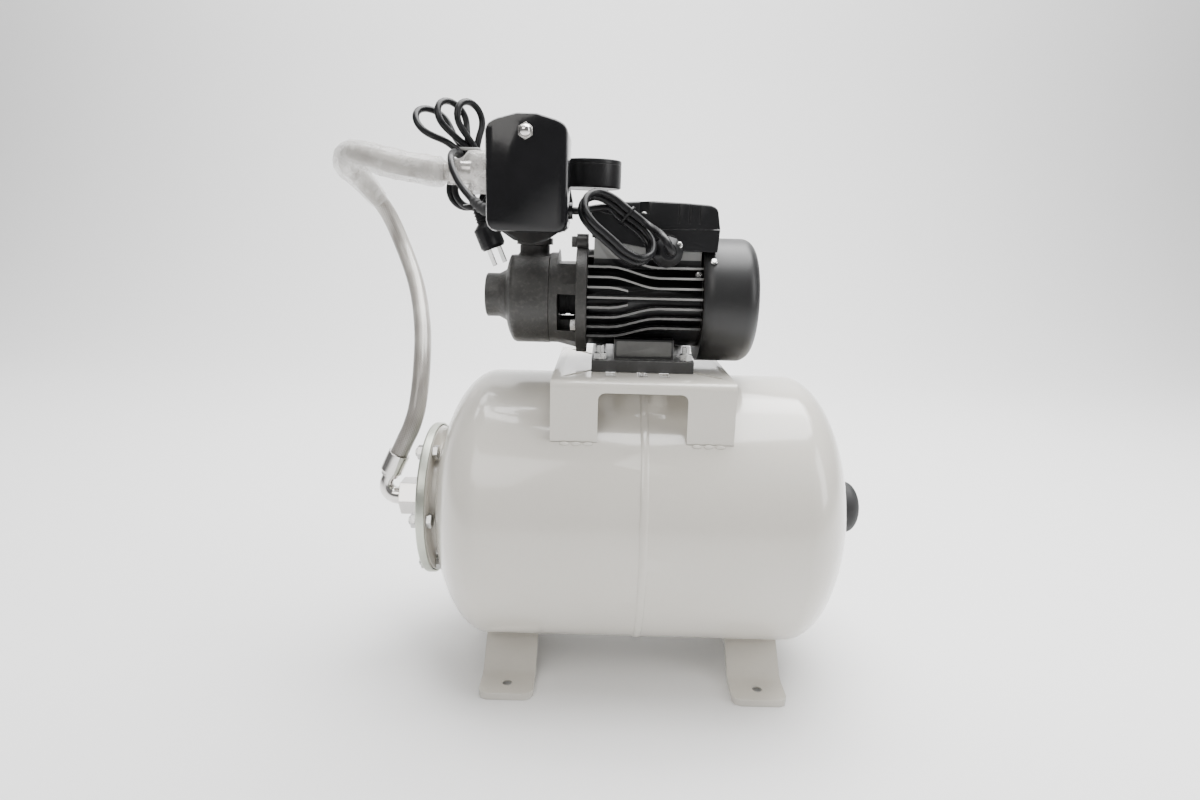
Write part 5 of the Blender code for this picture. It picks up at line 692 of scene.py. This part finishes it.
motorPoints = cordPoints(motorLead, hankPoints(motorLead) + listed(motorLead["leave"]))
motorFlex, motorLine = makeLead("motor_flex", motorPoints, motorLead["radius"], ("motor_lead", "motor_lead_hank"))
hankLeft, hankRight = at(*motorLead["left"]), at(*motorLead["right"])
hankWay = (hankRight - hankLeft).normalized()
hankLift, hankTilt = Vector((-hankWay.z, 0, hankWay.x)), radians(motorLead["tilt"])
hankWide = hankLift * cos(hankTilt) + yWay * sin(hankTilt)
hankForward = hankLift * sin(hankTilt) - yWay * cos(hankTilt)
tieSpot = hankLeft.lerp(hankRight, 0.5) + hankWide * motorLead["bend"] + hankForward * motorLead["tieOut"]
motorTie = tieBand("motor_tie", tieSpot, hankWide, hankForward, (0.0041, 0.0110), 0.0030, "leadVinyl")

# Vessel: both shells as one smooth turned wall with its middle weld and neck plate
vessel = {"radius": 0.135, "half": 0.145, "dome": 0.060, "wall": 0.0015, "neck": 0.0575, "plate": 0.0745,
          "plateBack": 0.2045, "neckEnd": 0.2085, "valve": 0.0043, "middle": 0.003, "steps": 160,
          "weldHalf": 0.0036, "weldRise": 0.0011, "ripple": 0.004, "rippleScale": 420}


def domeRun(radiusFrom, radiusTo, inset, steps, side):
    rise, deep = vessel["radius"] - inset, vessel["dome"] - inset
    start, end = acos(min(1.0, radiusFrom / rise)), acos(min(1.0, radiusTo / rise))
    return [(side * (vessel["half"] + deep * sin(start + (end - start) * k / steps)),
             rise * cos(start + (end - start) * k / steps)) for k in range(steps + 1)]


tall, throat, plate = vessel["radius"], vessel["neck"], vessel["plate"]
plateBack, neckEnd, inner = vessel["plateBack"], vessel["neckEnd"], vessel["radius"] - vessel["wall"]
profile = [(-neckEnd, throat - 0.003), (-neckEnd, plate - fine), (-neckEnd + fine, plate), (-plateBack - fine, plate),
           (-plateBack, plate - fine), (-plateBack, throat + 0.0015), (-plateBack + 0.0012, throat)]
profile += domeRun(throat, tall, 0.0, 26, -1)
profile += [(-0.08, tall), (-0.03, tall)]
profile += [(vessel["weldHalf"] * -cos(pi * k / 8), tall + vessel["weldRise"] * sin(pi * k / 8)) for k in range(9)]
profile += [(0.03, tall), (0.08, tall)]
profile += domeRun(tall, vessel["valve"], 0.0, 34, 1)
profile += domeRun(inner, vessel["valve"], vessel["wall"], 12, 1)[::-1]
profile += domeRun(throat - 0.003, inner, vessel["wall"], 12, -1)[::-1]
bm = spun(profile, vessel["steps"], "X", at(vessel["middle"], 0, tankZ), closed=True)
for vert in bm.verts:
    along = abs(vert.co.x - at(vessel["middle"], 0, 0).x)
    if along < vessel["weldHalf"] * 0.95:
        reach = Vector((0, vert.co.y, vert.co.z - tankZ))
        if reach.length > tall + 0.0002:
            ripple = 1 + vessel["ripple"] * noise.noise(vert.co * vessel["rippleScale"])
            vert.co = Vector((vert.co.x, reach.y * ripple, tankZ + reach.z * ripple))
place("vessel", bm, "creamPaint", 40, ("tank_shell_left", "tank_shell_right"))
print("vessel done")

# Counter-flange with a rolled rim and a raised middle
flange = {"inner": -0.2080, "outer": -0.2110, "boss": -0.2135, "radius": 0.0775, "lip": -0.2020, "wall": 0.0020,
          "bossRadius": 0.0440, "thread": 0.0169, "roll": 0.0026}
roll, rim, lip = flange["roll"], flange["radius"], flange["lip"]
front, boss = flange["outer"], flange["boss"]
profile = [(flange["inner"], flange["thread"]), (flange["inner"], rim - flange["wall"] - fine),
           (lip - fine, rim - flange["wall"]), (lip, rim - 0.0012), (lip - 0.0004, rim - 0.0002)]
profile += ovalArc((front + roll, rim - roll), (-roll, roll), 90, 0, 8)
profile += [(front, 0.0560), (front - 0.0004, 0.0530), (front - 0.0015, 0.0480),
            (boss + 0.0004, flange["bossRadius"] + 0.0012), (boss, flange["bossRadius"]), (boss, 0.0200),
            (boss, flange["thread"])]
place("flange_plate", spun(profile, 128, "X", at(0, 0, tankZ), closed=True), "zincPlate", 34, ("counter_flange",))

# Fan cover: one turned skin with slots left out of its face
fanCover = {"front": 0.0541, "roundX": 0.0934, "end": 0.1072, "radius": 0.0594, "face": 0.0440, "wall": 0.0012,
            "steps": 96, "slots": 12, "slotFrom": 0.015, "slotTo": 0.041}
end, bend, rim, flat = fanCover["end"], fanCover["roundX"], fanCover["radius"], fanCover["face"]
slotIn, slotOut = fanCover["slotFrom"], fanCover["slotTo"]
profile = [(end, 0.0), (end, 0.0075)]
profile += [(end, slotIn + (slotOut - slotIn) * k / 4) for k in range(5)]
profile += ovalArc((bend, flat), (end - bend, rim - flat), 0, 90, 10)
profile += [(0.085, rim), (0.065, rim), (fanCover["front"], rim)]
bm = spun(profile, fanCover["steps"], "X", at(0, 0, shaftZ))
slotFaces = []
for face in bm.faces:
    middle = face.calc_center_median() - at(0, 0, shaftZ)
    part = (atan2(middle.y, middle.z) / (2 * pi) * fanCover["slots"] + 0.5) % 1.0 - 0.5
    inSlots = slotIn < sqrt(middle.y ** 2 + middle.z ** 2) < slotOut
    if inSlots and middle.x > end - 0.001 and abs(part) < 0.125:
        slotFaces.append(face)
bmesh.ops.delete(bm, geom=slotFaces, context="FACES")
thicken(place("fan_shroud", bm, "satinCover", 40, ("fan_cover",)), fanCover["wall"], -1)
print("flange and fan cover done")

# Pump casing: turned body cut flat on top, with its suction port, and the outlet neck
casing = {"port": -0.1515, "portBack": -0.1385, "portRadius": 0.0211, "bore": 0.0150, "coneX": -0.1318,
          "coneRadius": 0.0253, "front": -0.1289, "faceRadius": 0.0375, "chamfer": -0.1205, "radius": 0.0456,
          "back": -0.0887, "chamber": 0.0366, "chamberX": -0.1000, "flat": 0.0390}
port, portBack, portRim = casing["port"], casing["portBack"], casing["portRadius"]
cone, rim, back = casing["coneX"], casing["radius"], casing["back"]
profile = [(port, casing["bore"] + fine), (port, portRim - 0.0008), (port + 0.0008, portRim),
           (portBack - 0.0010, portRim), (portBack + 0.0012, portRim + 0.0010),
           (cone - 0.0010, casing["coneRadius"] - 0.0008), (cone + 0.0010, casing["coneRadius"] + 0.0018),
           (casing["front"] - fine, casing["faceRadius"] - 0.0045), (casing["front"] + 0.0008, casing["faceRadius"])]
profile += ovalArc((casing["chamfer"] + 0.0005, rim - 0.0045), (-0.0060, 0.0045), 20, 90, 6)
profile += [(-0.105, rim), (back - fine, rim), (back, rim - fine), (back, casing["chamber"]),
            (casing["chamberX"], casing["chamber"]), (casing["chamberX"], casing["bore"]),
            (port + fine, casing["bore"])]
bm = spun(profile, 96, "X", at(0, 0, shaftZ), closed=True)
made = bmesh.ops.bisect_plane(bm, geom=bm.verts[:] + bm.edges[:] + bm.faces[:], dist=1e-7,
                              plane_co=(0, 0, shaftZ + casing["flat"]), plane_no=(0, 0, 1), clear_outer=True)
bmesh.ops.holes_fill(bm, edges=only(bmesh.types.BMEdge, made["geom_cut"]), sides=0)
place("pump_casing_skin", bm, "castIron", 34, ("pump_casing",))
neck = {"x": -0.1050, "low": shaftZ + 0.0378, "flare": 0.0159, "radius": 0.0145, "top": shaftZ + 0.0490}
profile = [(neck["low"], 0.0), (neck["low"], neck["flare"] + 0.001), (shaftZ + 0.0400, neck["flare"]),
           (shaftZ + 0.0412, neck["radius"] + 0.0004), (shaftZ + 0.0424, neck["radius"]),
           (neck["top"] - 0.0005, neck["radius"]), (neck["top"], neck["radius"] - 0.0005), (neck["top"], 0.0)]
place("outlet_neck", spun(profile, 64, "Z", at(neck["x"], 0, 0)), "castIron")

# Air valve cap, hollow and domed
cap = {"pole": 0.2080, "lift": 0.0010, "radius": 0.0263, "wall": 0.0020, "skirt": 0.0115, "height": 0.0255}
deep, inner = cap["height"] - cap["skirt"], cap["radius"] - cap["wall"]
profile = [(cap["lift"], inner), (cap["lift"], cap["radius"] - 0.0005), (cap["lift"] + 0.0005, cap["radius"])]
profile += ovalArc((cap["skirt"], 0), (deep, cap["radius"]), 90, 0, 12)
profile += ovalArc((cap["skirt"], 0), (cap["height"] - cap["wall"] - cap["skirt"], inner), 0, 90, 10)
bm = spun(profile, 96, "X", at(cap["pole"], 0, tankZ), closed=True)
place("valve_cap_skin", bm, "rubber", 40, ("air_valve_cap",), "valve_cap")

# Gauge: turned case on its brass stem
gauge = {"x": -0.0528, "z": 0.4885, "radius": 0.0294, "half": 0.0128, "rim": 0.0021, "dial": 0.4947, "stem": 0.0059,
         "stemX": -0.0950, "zero": 225.0, "sweep": 270.0, "top": 10}
low, high = gauge["z"] - gauge["half"], gauge["z"] + gauge["half"]
rim, face = gauge["radius"], gauge["dial"]
bezel = rim - gauge["rim"]
profile = [(low, 0.0), (low, 0.010), (low + 0.0004, 0.012), (low + 0.0004, rim - 0.0024)]
profile += ovalArc((low + 0.0018, rim - 0.0018), (-0.0018, 0.0018), 0, 90, 5)
profile += [(high - 0.0046, rim), (high - 0.0042, rim - 0.0004), (high - 0.0038, rim)]
profile += ovalArc((high - 0.0012, rim - 0.0012), (0.0012, 0.0012), 90, 0, 4)[:-1]
profile += [(high, rim - 0.0012), (high, bezel + 0.0004), (high - fine, bezel), (face, bezel), (face, 0.0)]
place("gauge_drum", spun(profile, 96, "Z", at(gauge["x"], 0, 0)), "boxPlastic", 40, ("gauge_case",))
stemEnd = gauge["x"] - rim + 0.004
profile = [(gauge["stemX"], 0.0), (gauge["stemX"], gauge["stem"]), (stemEnd, gauge["stem"]), (stemEnd, 0.0)]
place("gauge_stem", spun(profile, 48, "X", at(0, 0, gauge["z"])), "brass")
print("casing, cap and gauge done")

# Dial: a pale printed disc with ticks in its finish and raised figures
dial = {"lift": 0.00012, "figures": 0.0178, "size": 0.0046, "step": 2, "paper": (0.74, 0.74, 0.72, 1),
        "ink": (0.02, 0.02, 0.02, 1), "shortTick": 0.0226, "longTick": 0.0206, "tickOut": 0.0248, "ticks": 50,
        "dust": (0.60, 0.58, 0.54, 1)}


def dialFinish(name):
    material, tree, shader, coords = newMaterial(name)
    shift = (-at(gauge["x"], 0, 0).x, 0, 0)
    centred = add(tree, "ShaderNodeMapping", {"Vector": coords, "Location": shift}).outputs[0]
    parts = add(tree, "ShaderNodeSeparateXYZ", {0: centred}).outputs
    reach = reachOf(tree, parts[0], parts[1])
    turn = arithmetic(tree, "ABSOLUTE", arithmetic(tree, "ARCTAN2", parts[0], times(tree, parts[1], -1.0)))
    scale = ranged(tree, turn, radians(44.2), radians(44.4), 0.0, 1.0)
    outside = ranged(tree, reach, dial["tickOut"], dial["tickOut"] + 0.0002, 1.0, 0.0)
    phase = times(tree, arithmetic(tree, "SUBTRACT", turn, radians(45)), dial["ticks"] / radians(gauge["sweep"]))
    ticks = []
    for share, start, width in ((1.0, dial["shortTick"], 0.08), (0.2, dial["longTick"], 0.028)):
        wave = arithmetic(tree, "PINGPONG", times(tree, phase, share), 0.5)
        ticks.append(times(tree, ranged(tree, wave, width, width * 1.5, 1.0, 0.0),
                           ranged(tree, reach, start, start + 0.0002, 0.0, 1.0)))
    marks = times(tree, arithmetic(tree, "MAXIMUM", *ticks), times(tree, scale, outside))
    dust = cloudy(tree, coords, 90.0, 3.0)
    paper = mixed(tree, ranged(tree, dust, 0.4, 0.7, 0.0, 0.12), dial["paper"], dial["dust"])
    fill(tree, shader, {"Base Color": mixed(tree, marks, paper, dial["ink"]),
                        "Roughness": ranged(tree, dust, 0.3, 0.7, 0.40, 0.55)})
    return material


finishes["printedDial"] = dialFinish("printedDial")
bm = bmesh.new()
bmesh.ops.create_circle(bm, segments=96, radius=bezel - 0.0002, cap_ends=True)
bm.transform(Matrix.Translation(at(gauge["x"], 0, gauge["dial"] + dial["lift"])))
place("gauge_dial", bm, "printedDial", 60)
bm = bmesh.new()
for mark in range(0, gauge["top"] + 1, dial["step"]):
    text = bpy.data.curves.new("figure", "FONT")
    text.body = str(mark)
    text.size = dial["size"]
    text.align_x, text.align_y = "CENTER", "CENTER"
    holder = bpy.data.objects.new("figure", text)
    bpy.context.scene.collection.objects.link(holder)
    bpy.context.view_layer.update()
    flat = bpy.data.meshes.new_from_object(holder)
    angle = radians(gauge["zero"] - gauge["sweep"] * mark / gauge["top"])
    spot = Vector((dial["figures"] * cos(angle), dial["figures"] * sin(angle), 2 * dial["lift"]))
    flat.transform(Matrix.Translation(at(gauge["x"], 0, gauge["dial"]) + spot))
    bm.from_mesh(flat)
    bpy.data.objects.remove(holder)
    bpy.data.curves.remove(text)
bmesh.ops.recalc_face_normals(bm, faces=bm.faces)
place("gauge_figures", bm, "boxPlastic", 60)

# Dark sleeve round the seal, in the adapter's open lantern
lantern = {"from": -0.0806, "to": -0.0631, "radius": 0.0178, "bore": 0.0108, "chamfer": 0.0010, "groove": 0.0012,
           "grooveFrom": -0.0745, "grooveTo": -0.0695, "slope": 0.0005}
outer, groove = lantern["radius"], lantern["radius"] - lantern["groove"]
profile = [(lantern["from"], lantern["bore"]), (lantern["from"], outer - lantern["chamfer"]),
           (lantern["from"] + lantern["chamfer"], outer), (lantern["grooveFrom"], outer),
           (lantern["grooveFrom"] + lantern["slope"], groove), (lantern["grooveTo"] - lantern["slope"], groove),
           (lantern["grooveTo"], outer), (lantern["to"] - lantern["chamfer"], outer),
           (lantern["to"], outer - lantern["chamfer"]), (lantern["to"], lantern["bore"])]
place("seal_sleeve", spun(profile, 72, "X", at(0, 0, shaftZ), closed=True), "rubber", 40)

# Small fittings that the drawing leaves out: weld beads, screws and the bare plate on the motor's foot
beads = {"size": (0.0046, 0.0017, 0.0019), "z": 0.2520, "y": 0.1004,
         "x": (-0.0690, -0.0585, -0.0480, 0.0490, 0.0595, 0.0700)}
bm = bmesh.new()
for x in beads["x"]:
    for y in (-beads["y"], beads["y"]):
        shape = Matrix.Translation(at(x, y, beads["z"])) @ Matrix.Diagonal((*beads["size"], 1.0))
        bmesh.ops.create_uvsphere(bm, u_segments=24, v_segments=12, radius=1.0, matrix=shape)
place("weld_beads", bm, "creamPaint", 60)


recess = {"reach": 0.60, "half": 0.11, "deep": 0.45}  # shares of the head's radius and height


# A domed head with a cross recess, on a short shank
def screwHead(name, setup):
    bm = bmesh.new()
    bmesh.ops.create_grid(bm, x_segments=30, y_segments=30, size=1.0)
    for vert in bm.verts:
        x, y = vert.co.x, vert.co.y
        u, v = x * sqrt(1 - y * y / 2), y * sqrt(1 - x * x / 2)
        reach = sqrt(u * u + v * v)
        rise = setup["height"] * (1 - 0.5 * reach ** 3)
        if reach < recess["reach"] and min(abs(u), abs(v)) < recess["half"]:
            rise -= recess["deep"] * setup["height"]
        vert.co = (u * setup["radius"], v * setup["radius"], rise)
    rim = [e for e in bm.edges if len(e.link_faces) == 1]
    for vert in only(bmesh.types.BMVert, bmesh.ops.extrude_edge_only(bm, edges=rim)["geom"]):
        vert.co.z = -setup["shank"]
    capEnds(bm)
    turn = Vector(setup["way"]).to_track_quat("Z", "Y").to_matrix().to_4x4()
    bm.transform(Matrix.Translation(at(*setup["place"])) @ turn @ Matrix.Rotation(radians(setup["slant"]), 4, "Z"))
    place(name, bm, "boltSteel", 26)


screws = {"lead_clip_screw": {"place": (0.0285, -0.0640, 0.4262), "radius": 0.0030, "height": 0.0024, "shank": 0.0020,
                              "slant": 30, "way": (0, -1, 0)},
          "earth_screw": {"place": (0.0500, -0.0430, 0.3996), "radius": 0.0034, "height": 0.0024, "shank": 0.0070,
                          "slant": 15, "way": (0, -1, 0)},
          "lid_screw": {"place": (-0.0026, -0.0446, 0.4532), "radius": 0.0028, "height": 0.0016, "shank": 0.0006,
                        "slant": 40, "way": (0, 0, 1)}}
for name, setup in screws.items():
    screwHead(name, setup)
barePlate = {"low": (-0.0240, -0.0468, 0.3225), "high": (0.0275, -0.0460, 0.3370)}
low, high = at(*barePlate["low"]), at(*barePlate["high"])
bm = bmesh.new()
block = Matrix.Translation((low + high) / 2) @ Matrix.Diagonal((*(high - low), 1.0))
bmesh.ops.create_cube(bm, size=1.0, matrix=block)
roundEdges(bm, [e for e in bm.edges if abs(e.verts[0].co.y - e.verts[1].co.y) > 0.0005], 0.0016, 4)
roundEdges(bm, [e for e in bm.edges if all(v.co.y < low.y + 0.0001 for v in e.verts)], 0.0003, 2)
place("bare_plate", bm, "plateGrey", 40)
print("dial, welds, screws and plate done")

# Everything else keeps its CAD shape: each node's finish and the width of its edges' bevel
dressing = {
    "foot_left": ("creamPaint", 0.0005), "foot_right": ("creamPaint", 0.0005), "pump_bracket": ("creamPaint", 0.0006),
    "tank_membrane": ("rubber", 0), "air_valve_stem": ("brass", 0), "air_valve_core": ("brass", 0),
    "reducing_socket": ("chrome", 0.0004), "elbow": ("chrome", 0), "hose_ferrule": ("chrome", 0.0003),
    "hose_nut": ("chrome", 0.0004), "pump_adapter": ("castIron", 0), "impeller": ("brass", 0),
    "motor_housing": ("motorBlack", 0), "stator": ("copper", 0), "rotor_core": ("boltSteel", 0),
    "shaft": ("boltSteel", 0), "bearing_front": ("boltSteel", 0), "bearing_rear": ("boltSteel", 0),
    "end_shield": ("castIron", 0), "fan": ("boxPlastic", 0), "terminal_box": ("boxPlastic", 0.0004),
    "terminal_box_lid": ("boxPlastic", 0.0004), "capacitor": ("canWhite", 0), "motor_gland": ("boxPlastic", 0.0003),
    "five_way_fitting": ("castIron", 0), "switch_base": ("switchPlastic", 0),
    "switch_cover": ("switchPlastic", 0.0006), "cover_nut": ("chrome", 0), "switch_lever": ("boltSteel", 0),
    "gauge_pointer": ("rubber", 0), "plug": ("leadVinyl", 0.0004),
}
for k in range(1, 7):
    dressing["flange_bolt_" + str(k)] = ("boltSteel", 0.0003)
for k in range(1, 5):
    dressing["adapter_bolt_" + str(k)] = ("boltSteel" if k < 3 else "castIron", 0.0003)
    dressing["base_bolt_" + str(k)] = ("boltSteel", 0.0003)
for k in range(1, 3):
    dressing["fan_cover_screw_" + str(k)] = ("boltSteel", 0)
skins = {node: dressed(node, finish, width) for node, (finish, width) in dressing.items()}

# The plug's blades are steel, from a little below its body
bladeTop = -0.0425
plugMesh, plugFrame = skins["plug"].data, (plugTop @ plugTurn).inverted()
plugMesh.materials.append(finishes["boltSteel"])
for face in plugMesh.polygons:
    if (plugFrame @ face.center).z < bladeTop:
        face.material_index = 1


def glassFinish(name):
    material, tree, shader, coords = newMaterial(name)
    dust = cloudy(tree, coords, 120.0, 4.0)
    fill(tree, shader, {"Alpha": ranged(tree, dust, 0.5, 0.8, 0.12, 0.22), "Base Color": (0.85, 0.88, 0.9, 1),
                        "Roughness": ranged(tree, dust, 0.4, 0.7, 0.03, 0.09)})
    return material


finishes["gaugeGlass"] = glassFinish("gaugeGlass")
dressed("gauge_window", "gaugeGlass")
print("CAD copies dressed:", len(skins))


# Floor, backdrop and lights
stage = {"half": 5, "back": 2.6, "height": 3.5, "round": 1.2, "grey": 0.90, "rough": 0.7, "ambient": 0.23}


def makeStage():
    bm = bmesh.new()
    corners = ((-stage["half"], 0), (stage["back"], 0), (stage["back"], stage["height"]))
    points = [bm.verts.new((-stage["half"], y, z)) for y, z in corners]
    for a, b in zip(points, points[1:]):
        bm.edges.new((a, b))
    made = bmesh.ops.extrude_edge_only(bm, edges=bm.edges[:])["geom"]
    bmesh.ops.translate(bm, verts=only(bmesh.types.BMVert, made), vec=(2 * stage["half"], 0, 0))
    corner = [e for e in bm.edges if all(abs(v.co.y - stage["back"]) < 1e-6 and abs(v.co.z) < 1e-6 for v in e.verts)]
    roundEdges(bm, corner, stage["round"], 16)
    bmesh.ops.recalc_face_normals(bm, faces=bm.faces)
    mesh = bpy.data.meshes.new("studio_floor")
    bm.to_mesh(mesh)
    bm.free()
    mesh.shade_smooth()
    material = bpy.data.materials.new("paleFloor")
    material.use_nodes = True
    tree = material.node_tree
    fill(tree, tree.nodes["Principled BSDF"], {"Base Color": shaded((1, 1, 1), stage["grey"]),
                                               "Roughness": stage["rough"]})
    mesh.materials.append(material)
    floor = bpy.data.objects.new("studio_floor", mesh)
    bpy.context.scene.collection.objects.link(floor)
    floor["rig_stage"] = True


def softbox(name, spot, aim, size, power, tint=(1, 1, 1)):
    data = bpy.data.lights.new(name, "AREA")
    data.shape = "RECTANGLE"
    data.size, data.size_y = size
    data.energy = power
    data.color = tint
    light = bpy.data.objects.new(name, data)
    light.location = spot
    light.rotation_euler = (Vector(aim) - Vector(spot)).to_track_quat("-Z", "Y").to_euler()
    bpy.context.scene.collection.objects.link(light)


makeStage()
lights = {"keyLight": ((-0.9, -1.5, 1.7), (0, 0, 0.25), (1.4, 1.0), 17, (1.0, 0.98, 0.95)),
          "topLight": ((0.3, 0.2, 2.0), (0, 0, 0.3), (1.6, 1.6), 88),
          "rightLight": ((1.6, -0.6, 1.0), (0.1, 0, 0.3), (0.6, 1.2), 12),
          "backLight": ((0, 1.1, 2.7), (0, 2.7, 0.3), (4.0, 1.6), 130)}
for name, setup in lights.items():
    softbox(name, *setup)
world = bpy.data.worlds.new("studio")
world.use_nodes = True
fill(world.node_tree, world.node_tree.nodes["Background"], {"Color": (1, 1, 1, 1), "Strength": stage["ambient"]})
bpy.context.scene.world = world

low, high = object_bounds()
print("visual box", [round(v, 4) for v in low], [round(v, 4) for v in high])
